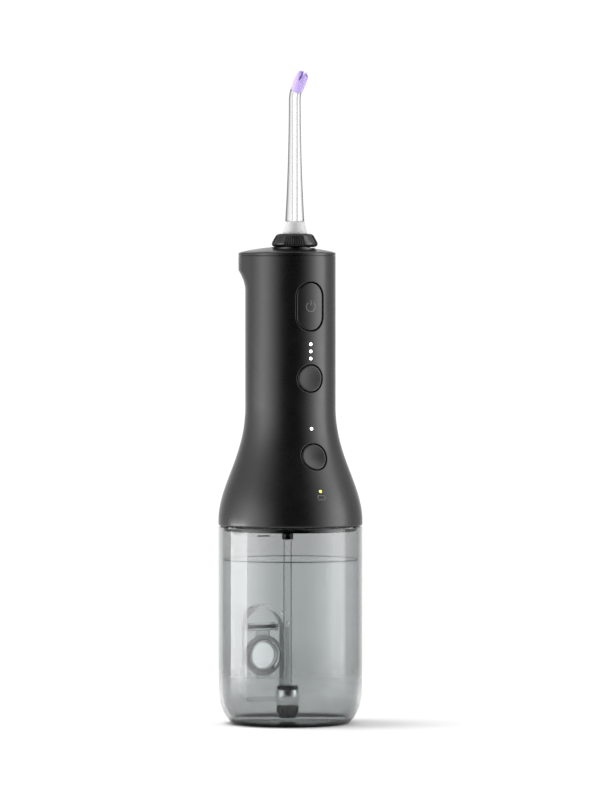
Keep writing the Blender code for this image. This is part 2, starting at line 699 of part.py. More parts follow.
def top_cover(finish):
    """Shallow dome over the lip's outline, with a hole for the collar's skirt."""
    low = SHELL_TOP + GAP
    rings = [neck_ring(NECK_RADIUS, LIP_OVERHANG, low),
             neck_ring(NECK_RADIUS, LIP_OVERHANG, COVER_RIM - COVER_CHAMFER),
             neck_ring(NECK_RADIUS - COVER_CHAMFER, LIP_OVERHANG, COVER_RIM)]
    rise = COVER_PEAK - COVER_RIM
    for share in (0.82, 0.62, 0.4, 0.2):
        ring = neck_ring(NECK_RADIUS * share, LIP_OVERHANG * share, COVER_RIM + rise * (1 - share ** 2))
        rings.append([(x, y + LIP_OVERHANG / 2 * (1 - share), z) for x, y, z in ring])
    cover = stacked("top_cover", rings, finish, capped=True)
    above, centre = COVER_PEAK + COVER_WALL, (0, NOZZLE_Y, 0)
    seat = turned("collar_seat", drum(COLLAR_WIDE_RADIUS + GAP, COLLAR_BOTTOM - GAP, above), FINE, at=centre)
    raised = turned("collar_raise", drum(COLLAR_BASE_RADIUS, low + GAP, COLLAR_BOTTOM - GAP), FINE, at=centre)
    hole = turned("skirt_hole", drum(SKIRT_RADIUS + GAP, SHELL_TOP - COVER_WALL, above), FINE, at=centre)
    cut(join(cover, raised), seat)
    return cut(cover, hole)


def base_plate(finish):
    """Closes the handle, carries the seal and holds the suction hose's socket."""
    groove_low = TANK_HEIGHT - SEAL_HEIGHT - 2 * GAP
    groove_high = groove_low + SEAL_HEIGHT + 2 * GAP
    groove = SPIGOT_RADIUS - SEAL_SECTION - GAP
    profile = [(0, BASE_BOTTOM), (SPIGOT_RADIUS, BASE_BOTTOM), (SPIGOT_RADIUS, groove_low),
               (groove, groove_low), (groove, groove_high), (SPIGOT_RADIUS, groove_high),
               (SPIGOT_RADIUS, BASE_TOP), (0, BASE_TOP)]
    plate = turned("base_plate", profile, COARSE, finish)
    boss = turned("hose_boss", drum(SOCKET_RADIUS, SOCKET_BOTTOM, BASE_BOTTOM + MM), FINE, at=(0, HOSE_Y, 0))
    bore = turned("hose_bore", drum(NIPPLE_BORE, SOCKET_BOTTOM - MM, BASE_TOP + MM), TINY, at=(0, HOSE_Y, 0))
    thrust = turned("gear_thrust", drum(2 * SHAFT_RADIUS, BASE_TOP - MM, YOKE_BOTTOM - GAP), TINY,
                    at=(0, GEAR_Y, 0))
    join(plate, boss, thrust)
    cut(plate, bore)
    for i, (x, y) in enumerate(base_screw_places()):
        hole = turned(f"base_screw_hole_{i}", screw_outline(BASE_BOTTOM - MM, BASE_BOTTOM + 2 * MM,
                                                            BASE_TOP + MM, GAP), TINY, at=(x, y, 0))
        cut(plate, hole)
    return plate


def tank_seal(finish):
    low = TANK_HEIGHT - SEAL_HEIGHT - GAP
    outer = TANK_BORE - GAP
    inner = SPIGOT_RADIUS - SEAL_SECTION
    return turned("tank_seal", tube(inner, outer, low, low + SEAL_HEIGHT), COARSE, finish)


def base_screw_places():
    angles = [math.radians(angle) for angle in BASE_SCREW_ANGLES]
    return [(BASE_SCREW_CIRCLE * math.cos(a), BASE_SCREW_CIRCLE * math.sin(a)) for a in angles]


def screw_outline(bottom, neck, tip, clearance=0.0):
    """Outline of a screw with its head at the bottom."""
    return [(0, bottom), (SCREW_HEAD + clearance, bottom), (SCREW_HEAD + clearance, neck),
            (SCREW_RADIUS + clearance, neck), (SCREW_RADIUS + clearance, tip), (0, tip)]


def base_screws(finish):
    for i, (x, y) in enumerate(base_screw_places(), start=1):
        profile = screw_outline(BASE_BOTTOM + GAP, BASE_BOTTOM + 2 * MM - GAP, BASE_TOP + 5 * MM)
        turned(f"base_screw_{i}", profile, TINY, finish, (x, y, 0))


# Suction hose and its weight

def suction_hose(finish):
    steps = 14
    curve = bpy.data.curves.new("suction_hose", "CURVE")
    curve.dimensions = "3D"
    curve.bevel_depth = HOSE_RADIUS
    curve.bevel_resolution = 2
    curve.use_fill_caps = True
    spline = curve.splines.new("POLY")
    spline.points.add(steps)
    for i, point in enumerate(spline.points):
        point.co = (0, HOSE_Y, HOSE_TOP + (HOSE_BOTTOM - HOSE_TOP) * i / steps, 1)
    hose = bpy.data.objects.new("suction_hose", curve)
    bpy.context.scene.collection.objects.link(hose)
    curve.materials.append(finish)
    return hose


def weight(cap_finish, sleeve_finish):
    """Weighted strainer on the hose's end: cap, steel sleeve and strainer."""
    spigot = WEIGHT_RADIUS - SLEEVE_WALL - GAP
    strainer_top = WEIGHT_BOTTOM + STRAINER_HEIGHT
    profile = [(0, WEIGHT_BOTTOM), (WEIGHT_RADIUS * 0.72, WEIGHT_BOTTOM),
               (WEIGHT_RADIUS, WEIGHT_BOTTOM + STRAINER_TAPER), (WEIGHT_RADIUS, strainer_top),
               (spigot, strainer_top), (spigot, WEIGHT_CAP_BOTTOM - GAP), (0, WEIGHT_CAP_BOTTOM - GAP)]
    at = (0, HOSE_Y, 0)
    turned("strainer", profile, FINE, cap_finish, at)
    sleeve = tube(spigot + GAP, WEIGHT_RADIUS, SLEEVE_BOTTOM, SLEEVE_BOTTOM + SLEEVE_HEIGHT)
    turned("weight_sleeve", sleeve, FINE, sleeve_finish, at)
    top = WEIGHT_CAP_BOTTOM + WEIGHT_CAP_HEIGHT
    cap = [(0, WEIGHT_CAP_BOTTOM), (WEIGHT_RADIUS, WEIGHT_CAP_BOTTOM),
           (WEIGHT_RADIUS - WEIGHT_CAP_TAPER, top), (0, top)]
    turned("weight_cap", cap, FINE, cap_finish, at)


# Buttons and lights

def power_button(finish):
    button = skin_patch("power_button", slot_outline(POWER_WIDTH, POWER_HEIGHT), POWER_Z,
                        BUTTON_THICKNESS, finish)
    return join(button, plunger("power_plunger", POWER_Z))


def plunger(name, z):
    front = -(skin_radius(z) - BUTTON_THICKNESS / 2)
    low = (-SWITCH_SIZE / 3, front, z - SWITCH_SIZE / 3)
    return span(name, low, (SWITCH_SIZE / 3, PLUNGER_END, z + SWITCH_SIZE / 3))


def round_button(name, z, finish):
    """A round button with a shallow dish, square to the skin at its height."""
    button = skin_patch(name, circle_outline(ROUND_BUTTON_RADIUS, FINE), z, BUTTON_THICKNESS, finish)
    join(button, leaning_plunger(name + "_plunger", z))
    tilt = skin_tilt(z)
    reach = DISH_RADIUS - DISH_DEPTH
    bm = bmesh.new()
    bmesh.ops.create_uvsphere(bm, u_segments=FINE, v_segments=COARSE, radius=DISH_RADIUS)
    centre = (0, -skin_radius(z) - reach * math.cos(tilt), z + reach * math.sin(tilt))
    dish = place(name + "_dish", finish_mesh(bm, name + "_dish"), None, centre, (math.pi / 2 - tilt, 0, 0))
    return cut(button, dish)


def press_path(z):
    """Direction in which a button at a height is pressed, and its length down to the switch."""
    tilt = skin_tilt(z)
    inward = Vector((0, math.cos(tilt), -math.sin(tilt)))
    length = (skin_radius(z) + PLUNGER_END) / math.cos(tilt)
    return inward, length


def leaning_plunger(name, z):
    inward, length = press_path(z)
    start = BUTTON_THICKNESS / 2
    half = SWITCH_SIZE / 4
    end = length - half * math.tan(skin_tilt(z))
    centre = Vector((0, -skin_radius(z), z)) + inward * (start + end) / 2
    size = (2 * half, 2 * half, end - start)
    return block(name, size, None, centre, (math.pi / 2 - skin_tilt(z), 0, 0))


def switch_height(z):
    """Height at which a button's plunger meets the board."""
    inward, length = press_path(z)
    return z + inward.z * length


def switches(finish):
    for name, z in (("power", POWER_Z), ("intensity", INTENSITY_Z), ("mode", MODE_Z)):
        half = SWITCH_SIZE / 2
        centre = switch_height(z)
        span(name + "_switch", (-half, SWITCH_FRONT, centre - half),
             (half, BOARD_FRONT - GAP, centre + half), finish)


def light_guides(finish):
    """Clear rods from the lamps on the board to the skin; the three intensity rods share a bar."""
    end = -SWITCH_FRONT
    rods = []
    for i, z in enumerate(intensity_lights()):
        back = end - skin_radius(z)
        rods.append(front_rod(f"intensity_rod_{i}", GUIDE_RADIUS, z, back, 0.0))
    lights = intensity_lights()
    half = GUIDE_RADIUS * 1.6
    bar = span("intensity_light_guide", (-half, SWITCH_FRONT - 2 * MM, lights[-1] - half),
               (half, SWITCH_FRONT - GAP, lights[0] + half), finish)
    join(bar, *rods)
    for name, z in (("mode_light_guide", MODE_LIGHT_Z), ("battery_light_guide", BATTERY_LIGHT_Z)):
        front_rod(name, GUIDE_RADIUS, z, end - skin_radius(z), 0.0, finish)


def control_board(finish):
    half = BOARD_WIDTH / 2
    board = span("control_board", (-half, BOARD_FRONT, BOARD_BOTTOM), (half, BOARD_BACK, BOARD_TOP), finish)
    for i, z in enumerate(intensity_lights() + [MODE_LIGHT_Z, BATTERY_LIGHT_Z]):
        lamp = span(f"lamp_{i}", (-GUIDE_RADIUS, SWITCH_FRONT + GAP, z - GUIDE_RADIUS),
                    (GUIDE_RADIUS, BOARD_FRONT + GAP, z + GUIDE_RADIUS))
        join(board, lamp)
    chip_z = (INTENSITY_Z + MODE_LIGHT_Z) / 2
    chip = span("controller_chip", (-3 * MM, SWITCH_FRONT, chip_z - 3 * MM),
                (3 * MM, BOARD_FRONT + GAP, chip_z + 3 * MM))
    return join(board, chip)


# Nozzle

def nozzle_collar(finish):
    """Knob that turns the nozzle; its skirt passes down through the cover."""
    low = COLLAR_BOTTOM
    wide = COLLAR_WIDE_RADIUS
    profile = [(COLLAR_BORE, NOZZLE_SEAT), (SKIRT_RADIUS, NOZZLE_SEAT), (SKIRT_RADIUS, low),
               (COLLAR_BASE_RADIUS, low), (wide - COLLAR_FOOT * 0.4, low + COLLAR_FOOT),
               (wide, low + COLLAR_FOOT * 2.1), (wide - COLLAR_FOOT * 0.6, low + COLLAR_FOOT * 3.7),
               (COLLAR_TOP_RADIUS + COLLAR_CROWN * 1.25, COLLAR_TOP - COLLAR_CROWN),
               (COLLAR_TOP_RADIUS, COLLAR_TOP), (COLLAR_BORE, COLLAR_TOP)]
    return turned("nozzle_collar", profile, COARSE, finish, (0, NOZZLE_Y, 0))


def nozzle_base(finish):
    """Frosted base: a cone above the collar, a stem in its bore and a nipple in the socket."""
    profile = [(NOZZLE_BORE, NIPPLE_BOTTOM), (NIPPLE_RADIUS, NIPPLE_BOTTOM),
               (NIPPLE_RADIUS, NOZZLE_SEAT + GAP), (NOZZLE_BASE_RADIUS, NOZZLE_SEAT + GAP),
               (NOZZLE_BASE_RADIUS, COLLAR_TOP), (CONE_TOP_RADIUS, CONE_TOP), (NOZZLE_BORE, CONE_TOP)]
    return turned("nozzle_base", profile, FINE, finish, (0, NOZZLE_Y, 0))


def shaft_radius(share):
    """Outer radius of the clear shaft, from its foot (0) to its end (1)."""
    return SHAFT_END_RADIUS + (SHAFT_FOOT_RADIUS - SHAFT_END_RADIUS) * (1 - share) ** 2.2


def shaft_frame(distance):
    """Point and direction on the shaft's centre line at a distance from its foot."""
    foot = CONE_TOP + GAP
    bend_length = BEND_RADIUS * BEND_ANGLE
    along = min(distance, SHAFT_STRAIGHT)
    angle = min(max(distance - SHAFT_STRAIGHT, 0.0), bend_length) / BEND_RADIUS
    rest = max(distance - SHAFT_STRAIGHT - bend_length, 0.0)
    y = -BEND_RADIUS * (1 - math.cos(angle)) - rest * math.sin(angle)
    z = foot + along + BEND_RADIUS * math.sin(angle) + rest * math.cos(angle)
    return Vector((0, NOZZLE_Y + y, z)), angle


def shaft_length():
    return SHAFT_STRAIGHT + BEND_RADIUS * BEND_ANGLE + SHAFT_END


def shaft_ring(distance, radius, sides=SHAFT_SIDES):
    """A ring of points square to the centre line at a distance."""
    centre, angle = shaft_frame(distance)
    tilt = Matrix.Rotation(angle, 4, "X")
    return [centre + tilt @ Vector((x, y, 0)) for x, y in circle_outline(radius, sides)]


def nozzle_shaft(finish):
    """Clear tapering tube that bends forward at its top."""
    straight = [SHAFT_STRAIGHT * share for share in (0, 0.1, 0.2, 0.35, 0.5, 0.75, 1)]
    bend = [SHAFT_STRAIGHT + BEND_RADIUS * BEND_ANGLE * share for share in (0.25, 0.5, 0.75, 1)]
    stops = straight + bend + [shaft_length()]
    outer = [shaft_ring(stop, shaft_radius(stop / shaft_length())) for stop in stops]
    inner = [shaft_ring(stop, NOZZLE_BORE) for stop in reversed(stops)]
    return stacked("nozzle_shaft", outer + inner, finish)


def nozzle_tip(finish):
    """Soft tip with a bore and two crossed slots in its end."""
    foot, angle = shaft_frame(shaft_length() + GAP)
    profile = [(NOZZLE_BORE, 0), (TIP_RADIUS, 0), (TIP_RADIUS * 1.02, TIP_LENGTH * 0.6),
               (TIP_RADIUS * 0.94, TIP_LENGTH * 0.9), (TIP_RADIUS * 0.75, TIP_LENGTH),
               (NOZZLE_BORE, TIP_LENGTH)]
    turn = (angle, 0, 0)
    tip = turned("nozzle_tip", profile, FINE, finish, foot, turn)
    deep = TIP_SLOT_DEPTH
    direction = Vector((0, -math.sin(angle), math.cos(angle)))
    centre = foot + direction * (TIP_LENGTH - deep / 2 + MM / 2)
    for i in range(2):
        spin = Matrix.Rotation(angle, 3, "X") @ Matrix.Rotation(math.radians(45 + 90 * i), 3, "Z")
        size = (TIP_RADIUS * 3, TIP_SLOT_WIDTH, deep + MM)
        slot = block(f"tip_slot_{i}", size, None, centre, spin.to_euler())
        cut(tip, slot)
    return tip


def nozzle_socket(finish):
    """Fixed cup under the cover that takes the nozzle's nipple, with a hose nipple below."""
    groove_low = SOCKET_FLOOR + 2 * MM
    groove_high = groove_low + SEAL_THICKNESS + 2 * GAP
    groove = SOCKET_BORE + SEAL_GROOVE
    outer = COLLAR_BORE - SOCKET_SHOULDER
    foot = SOCKET_FLOOR - SOCKET_FOOT
    bottom = foot - SOCKET_FOOT
    profile = [(NIPPLE_BORE, bottom), (PIPE_RADIUS, bottom), (PIPE_RADIUS, foot), (outer, foot),
               (outer, SOCKET_TOP), (SOCKET_BORE, SOCKET_TOP), (SOCKET_BORE, groove_high),
               (groove, groove_high), (groove, groove_low), (SOCKET_BORE, groove_low),
               (SOCKET_BORE, SOCKET_FLOOR), (NIPPLE_BORE, SOCKET_FLOOR)]
    turned("nozzle_socket", profile, FINE, finish, (0, NOZZLE_Y, 0))
    return bottom, outer


def socket_seal(finish):
    low = SOCKET_FLOOR + 2 * MM + GAP
    ring = tube(NIPPLE_RADIUS + GAP / 2, SOCKET_BORE + SEAL_GROOVE - GAP, low, low + SEAL_THICKNESS)
    return turned("socket_seal", ring, FINE, finish, (0, NOZZLE_Y, 0))


# Frame, motor and cell

def chassis(finish, socket_radius):
    """Deck for the motor, legs to the base plate, rails for the board and clips for the cell."""
    deck_radius = skin_radius(DECK_TOP) - HANDLE_WALL - DECK_MARGIN
    frame = turned("chassis", drum(deck_radius, DECK_BOTTOM, DECK_TOP), COARSE, finish)
    for i, (x, y) in enumerate(base_screw_places()):
        join(frame, turned(f"leg_{i}", drum(3 * MM, BASE_TOP + GAP, DECK_BOTTOM + MM), TINY, at=(x, y, 0)))
    for side in (-1, 1):
        join(frame, span(f"rail_{side}", (side * RAIL_X - RAIL_WIDTH / 2, RAIL_FRONT, DECK_TOP - MM),
                         (side * RAIL_X + RAIL_WIDTH / 2, RAIL_FRONT + RAIL_DEPTH, FRAME_TOP + MM)))
    join(frame, cell_shelf())
    for i, low in enumerate((CELL_BOTTOM + 6 * MM, CELL_BOTTOM + CELL_LENGTH - 16 * MM)):
        join(frame, cell_clip(i, low))
        for side in (-1, 1):
            left, right = side * RAIL_X - RAIL_WIDTH / 2, side * RAIL_X + RAIL_WIDTH / 2
            join(frame, span(f"clip_arm_{i}_{side}", (left, RAIL_FRONT + MM, low + MM),
                             (right, CELL_Y - CELL_RADIUS / 2, low + CLIP_HEIGHT - MM)))
    join(frame, head_plate())
    cut(frame, turned("socket_seat", drum(socket_radius + GAP, FRAME_TOP - MM, COVER_PEAK), FINE,
                      at=(0, NOZZLE_Y, 0)))
    cut(frame, turned("motor_nose_hole", drum(SHAFT_RADIUS + 2 * GAP, DECK_BOTTOM - MM, DECK_TOP + MM), TINY,
                      at=(0, MOTOR_Y, 0)))
    cut(frame, turned("axle_hole", drum(SHAFT_RADIUS + GAP, DECK_BOTTOM - MM, DECK_TOP - BLIND_END), TINY,
                      at=(0, GEAR_Y, 0)))
    cut(frame, turned("outlet_pass", drum(PIPE_RADIUS + 2 * GAP, DECK_BOTTOM - MM, DECK_TOP + MM), FINE,
                      at=(BLOCK_X, GEAR_Y, 0)))
    for i, (x, y) in enumerate(base_screw_places()):
        bore = drum(SCREW_RADIUS + GAP, BASE_TOP, BASE_TOP + 6 * MM)
        cut(frame, turned(f"leg_bore_{i}", bore, TINY, at=(x, y, 0)))
    for i, x in enumerate(motor_screw_places()):
        bore = drum(SCREW_RADIUS + GAP, DECK_BOTTOM - MM, DECK_TOP + MM)
        cut(frame, turned(f"motor_screw_pass_{i}", bore, TINY, at=(x, MOTOR_Y, 0)))
    return frame


def cell_shelf():
    """Thin floor between motor and cell, reaching forward to both rails."""
    low, high = MOTOR_TOP + GAP, CELL_BOTTOM - GAP
    shelf = span("cell_shelf", (-RAIL_X - RAIL_WIDTH / 2, RAIL_FRONT + MM, low),
                 (RAIL_X + RAIL_WIDTH / 2, CELL_Y + CELL_RADIUS / 2, high))
    return cut(shelf, span("hose_slot", (-2 * PIPE_RADIUS, RAIL_FRONT, low - MM),
                           (RAIL_X - RAIL_WIDTH / 2, CELL_Y - CELL_RADIUS - GAP, high + MM)))


def cell_clip(index, low):
    """A ring open at the front and back that grips the cell's two sides."""
    inner = CELL_RADIUS + GAP
    outer = inner + CLIP_WALL
    points = []
    for start, end in ((-40, 50),):
        points += arc((0, 0), outer, math.radians(start), math.radians(end), 8)
        points += arc((0, 0), inner, math.radians(end), math.radians(start), 8)
    right = extruded(f"clip_{index}", points, low, low + CLIP_HEIGHT, at=(0, CELL_Y, 0))
    mirrored = [(-x, y) for x, y in points]
    left = extruded(f"clip_left_{index}", mirrored, low, low + CLIP_HEIGHT, at=(0, CELL_Y, 0))
    return join(right, left)


def head_plate():
    """Plate across the top of the rails that carries the nozzle socket."""
    half = RAIL_X + RAIL_WIDTH / 2
    return span("head_plate", (-half, RAIL_FRONT, FRAME_TOP), (half, CELL_Y, FRAME_TOP + 2 * MM))


def motor_screw_places():
    return [-MOTOR_SCREW_X, MOTOR_SCREW_X]


def motor(finish):
    face = MOTOR_RADIUS - MOTOR_CHAMFER
    profile = [(0, MOTOR_BOTTOM), (face, MOTOR_BOTTOM), (MOTOR_RADIUS, MOTOR_BOTTOM + MOTOR_CHAMFER),
               (MOTOR_RADIUS, MOTOR_TOP - MOTOR_CHAMFER), (face, MOTOR_TOP), (0, MOTOR_TOP)]
    body = turned("motor", profile, FINE, finish, (0, MOTOR_Y, 0))
    cut(body, turned("motor_bore", drum(SHAFT_RADIUS + GAP, MOTOR_BOTTOM - MM, MOTOR_BOTTOM + 8 * MM), TINY,
                     at=(0, MOTOR_Y, 0)))
    for i, x in enumerate(motor_screw_places()):
        tap = drum(SCREW_RADIUS + GAP, MOTOR_BOTTOM - MM, MOTOR_BOTTOM + MOTOR_SCREW_REACH + 2 * GAP)
        cut(body, turned(f"motor_tap_{i}", tap, TINY, at=(x, MOTOR_Y, 0)))
    return body


def motor_screws(finish):
    under = DECK_BOTTOM - GAP
    for i, x in enumerate(motor_screw_places(), start=1):
        profile = screw_outline(under - MOTOR_SCREW_HEAD, under, MOTOR_BOTTOM + MOTOR_SCREW_REACH)
        turned(f"motor_screw_{i}", profile, TINY, finish, (x, MOTOR_Y, 0))


def battery_cell(finish):
    top = CELL_BOTTOM + CELL_LENGTH
    shoulder = top - CELL_STEP
    profile = [(0, CELL_BOTTOM), (CELL_RADIUS, CELL_BOTTOM), (CELL_RADIUS, shoulder),
               (CELL_TERMINAL, shoulder), (CELL_TERMINAL, top), (0, top)]
    return turned("battery_cell", profile, FINE, finish, (0, CELL_Y, 0))


# Pump drive

def tooth_outline(teeth, phase):
    """Outline of a spur gear with straight-sided teeth and working backlash."""
    pitch = GEAR_MODULE * teeth / 2
    root, crown = pitch - 1.15 * GEAR_MODULE, pitch + 0.8 * GEAR_MODULE
    step = math.tau / teeth
    points = []
    for i in range(teeth):
        middle = phase + step * i
        for radius, share in ((root, -0.31), (crown, -0.1), (crown, 0.1), (root, 0.31)):
            angle = middle + share * step
            points.append((radius * math.cos(angle), radius * math.sin(angle)))
    return points


def drive_gear(finish):
    """Spur gear with the eccentric that moves the yoke; its blind bore takes the axle."""
    facing = math.pi / 2
    teeth = tooth_outline(GEAR_TEETH, facing)
    gear = extruded("drive_gear", teeth, GEAR_BOTTOM, GEAR_TOP, finish, (0, GEAR_Y, 0))
    join(gear, turned("eccentric", drum(ECCENTRIC_RADIUS, YOKE_BOTTOM, GEAR_BOTTOM + MM), FINE,
                      at=(0, GEAR_Y - CRANK, 0)))
    return cut(gear, turned("gear_bore", drum(SHAFT_RADIUS + GAP, YOKE_BOTTOM + MM, GEAR_TOP + MM), TINY,
                            at=(0, GEAR_Y, 0)))


def gear_axle(finish):
    axle = drum(SHAFT_RADIUS, YOKE_BOTTOM + MM + GAP, DECK_TOP - BLIND_END - GAP)
    return turned("gear_axle", axle, TINY, finish, (0, GEAR_Y, 0))


def motor_pinion(finish):
    gap_phase = -math.pi / 2 + math.pi / PINION_TEETH
    pinion = extruded("motor_pinion", tooth_outline(PINION_TEETH, gap_phase), GEAR_BOTTOM, GEAR_TOP, finish,
                      (0, MOTOR_Y, 0))
    bore = drum(SHAFT_RADIUS + GAP / 2, GEAR_BOTTOM + BLIND_END, GEAR_TOP + MM)
    return cut(pinion, turned("pinion_bore", bore, TINY, at=(0, MOTOR_Y, 0)))


def motor_shaft(finish):
    shaft = drum(SHAFT_RADIUS, GEAR_BOTTOM + BLIND_END + GAP, MOTOR_BOTTOM + 7 * MM)
    return turned("motor_shaft", shaft, TINY, finish, (0, MOTOR_Y, 0))


def along_x(name, radius, start, end, finish=None, sides=FINE):
    """A cylinder along X on the pump's centre line."""
    return extruded(name, circle_outline(radius, sides), start, end, finish, (0, GEAR_Y, PISTON_Z),
                    (0, math.pi / 2, 0))


def piston_yoke(finish):
    """Open frame round the eccentric, with the piston on a rod at its side."""
    yoke = span("piston_yoke", (-YOKE_HALF_X, GEAR_Y - YOKE_HALF_Y, YOKE_BOTTOM),
                (YOKE_HALF_X, GEAR_Y + YOKE_HALF_Y, YOKE_TOP), finish)
    cut(yoke, span("yoke_window", (-WINDOW_HALF_X, GEAR_Y - WINDOW_HALF_Y, YOKE_BOTTOM - MM),
                   (WINDOW_HALF_X, GEAR_Y + WINDOW_HALF_Y, YOKE_TOP + MM)))
    rod = along_x("piston_rod", PISTON_ROD_RADIUS, YOKE_HALF_X - MM / 2, PISTON_START + MM, sides=TINY)
    head = along_x("piston_head", PISTON_RADIUS, PISTON_START, PISTON_START + PISTON_LENGTH)
    return join(yoke, rod, head)


def pump_cylinder(finish):
    cylinder = along_x("pump_cylinder", CYLINDER_RADIUS, CYLINDER_START, CYLINDER_END, finish)
    bore = along_x("cylinder_bore", PISTON_RADIUS + GAP, CYLINDER_START - MM, CYLINDER_END + MM)
    return cut(cylinder, bore)


def valve_block(finish):
    """Pump head with an inlet nipple at its back and an outlet nipple on top."""
    half = VALVE_BLOCK_SIZE / 2
    body = span("valve_block", (BLOCK_START, GEAR_Y - 2 * half, PISTON_Z - half),
                (BLOCK_START + 2 * half, GEAR_Y + half, BLOCK_TOP), finish)
    outlet = drum(PIPE_RADIUS, BLOCK_TOP - MM, BLOCK_TOP + NIPPLE_STEP)
    join(body, turned("outlet_nipple", outlet, TINY, at=(BLOCK_X, GEAR_Y, 0)))
    inlet = drum(PIPE_RADIUS, half - MM, half + NIPPLE_STEP)
    join(body, turned("inlet_nipple", inlet, TINY, at=(BLOCK_X, GEAR_Y, PISTON_Z), turn=(-math.pi / 2, 0, 0)))
    cut(body, along_x("head_bore", NIPPLE_BORE, BLOCK_START - MM, BLOCK_X, sides=TINY))
    chamber = drum(NIPPLE_BORE, PISTON_Z, BLOCK_TOP + 2 * MM)
    cut(body, turned("outlet_bore", chamber, TINY, at=(BLOCK_X, GEAR_Y, 0)))
    return cut(body, turned("inlet_bore", drum(NIPPLE_BORE, 0, half + 2 * MM), TINY,
                            at=(BLOCK_X, GEAR_Y, PISTON_Z), turn=(-math.pi / 2, 0, 0)))


def check_valves(finish):
    """A small one-way valve in each nipple of the pump head."""
    plug = drum(NIPPLE_BORE - GAP / 2, 0, VALVE_LENGTH)
    turned("outlet_valve", plug, TINY, finish, (BLOCK_X, GEAR_Y, BLOCK_TOP - MM))
    turned("inlet_valve", plug, TINY, finish, (BLOCK_X, GEAR_Y + VALVE_BLOCK_SIZE / 2 - MM, PISTON_Z),
           (-math.pi / 2, 0, 0))


def hose(name, route, finish, steps=24):
    """A hose on a smooth curve through a few route points."""
    curve = bpy.data.curves.new(name, "CURVE")
    curve.dimensions = "3D"
    curve.bevel_depth = PIPE_RADIUS
    curve.bevel_resolution = 2
    curve.use_fill_caps = True
    spline = curve.splines.new("POLY")
    spline.points.add(steps)
    for i, point in enumerate(spline.points):
        point.co = (*smooth_point(route, i / steps), 1)
    item = bpy.data.objects.new(name, curve)
    bpy.context.scene.collection.objects.link(item)
    curve.materials.append(finish)
    return item


def smooth_point(route, share):
    """Point on a Catmull-Rom curve through the route."""
    place_on = share * (len(route) - 1)
    index = min(int(place_on), len(route) - 2)
    t = place_on - index
    before = route[max(index - 1, 0)]
    a, b = route[index], route[index + 1]
    after = route[min(index + 2, len(route) - 1)]
    return 0.5 * (2 * a + (b - before) * t + (2 * before - 5 * a + 4 * b - after) * t * t
                  + (3 * a - before - 3 * b + after) * t ** 3)


def inlet_hose(finish):
    start = Vector((0, HOSE_Y, BASE_TOP + 2 * GAP))
    end = Vector((BLOCK_X, GEAR_Y + VALVE_BLOCK_SIZE / 2 + NIPPLE_STEP + 2 * GAP, PISTON_Z))
    bend = PISTON_Z - start.z
    run = VALVE_BLOCK_SIZE * 0.08    # sideways drift of the level run
    route = [start, Vector((0, HOSE_Y, start.z + 0.2 * bend)),
             Vector((0.3 * bend, HOSE_Y, start.z + 0.75 * bend)),
             Vector((bend, HOSE_Y + run, PISTON_Z)), Vector((0.54 * BLOCK_X, HOSE_Y + 2 * run, PISTON_Z)),
             Vector((BLOCK_X - bend, end.y + 1.6 * bend, PISTON_Z)),
             Vector((BLOCK_X - 0.3 * bend, end.y + 1.3 * bend, PISTON_Z)),
             Vector((BLOCK_X, end.y + 0.5 * bend, PISTON_Z)), end]
    return hose("inlet_hose", route, finish, steps=30)


def outlet_hose(finish, socket_bottom):
    start = Vector((BLOCK_X, GEAR_Y, BLOCK_TOP + NIPPLE_STEP + 2 * GAP))
    lane = RAIL_FRONT + RAIL_DEPTH + PIPE_RADIUS + GAP
    end = Vector((0, NOZZLE_Y, socket_bottom - 2 * GAP))
    middle = BLOCK_X * 0.8
    route = [start, start + Vector((0, 0, 2 * MM)), start + Vector((0, 0, 5 * MM)),
             Vector((middle, lane, DECK_TOP + 0.46 * MOTOR_LENGTH)),
             Vector((middle * 0.38, lane, MOTOR_TOP - SHELF_THICKNESS)),
             Vector((middle * 0.15, lane, CELL_BOTTOM + 0.15 * CELL_LENGTH)),
             Vector((0, lane, CELL_BOTTOM + 0.43 * CELL_LENGTH)),
             Vector((0, lane, CELL_BOTTOM + 0.68 * CELL_LENGTH)), Vector((0, lane, end.z - 9 * MM)),
             end - Vector((0, 0, 2 * MM)), end]
    return hose("outlet_hose", route, finish, steps=40)


# Charging port

def charge_outline(extra=0.0):
    """Rounded flap outline in (x, height), grown by extra."""
    half_x, half_y = CHARGE_WIDTH / 2 + extra, CHARGE_HEIGHT / 2 + extra
    radius = 2 * MM + extra
    points = []
    for i, (sx, sy) in enumerate(((1, 1), (-1, 1), (-1, -1), (1, -1))):
        centre = (sx * (half_x - radius), sy * (half_y - radius))
        points += arc(centre, radius, math.pi / 2 * i, math.pi / 2 * (i + 1), 3)
    return points


def charge_cover(finish):
    return skin_patch("charge_cover", charge_outline(), CHARGE_Z, CHARGE_COVER, finish, back=True)


def charge_socket(finish):
    """Socket body behind the flap: a flange under the wall and a metal-lined mouth."""
    tilt = skin_tilt(CHARGE_Z)
    radius = skin_radius(CHARGE_Z)
    turn = (tilt, 0, 0)
    outward = Vector((0, math.cos(tilt), math.sin(tilt)))
    depth = CHARGE_COVER + 2 * GAP
    face = Vector((0, radius, CHARGE_Z)) - outward * depth
    size = (CHARGE_WIDTH - 1.4 * MM, PLUG_DEPTH + MM, CHARGE_HEIGHT - 2 * MM)
    body = block("charge_socket", size, finish, face - outward * size[1] / 2, turn)
    slot = block("plug_slot", (PLUG_WIDTH, 2 * PLUG_DEPTH, PLUG_HEIGHT), None, face, turn)
    return cut(body, slot)


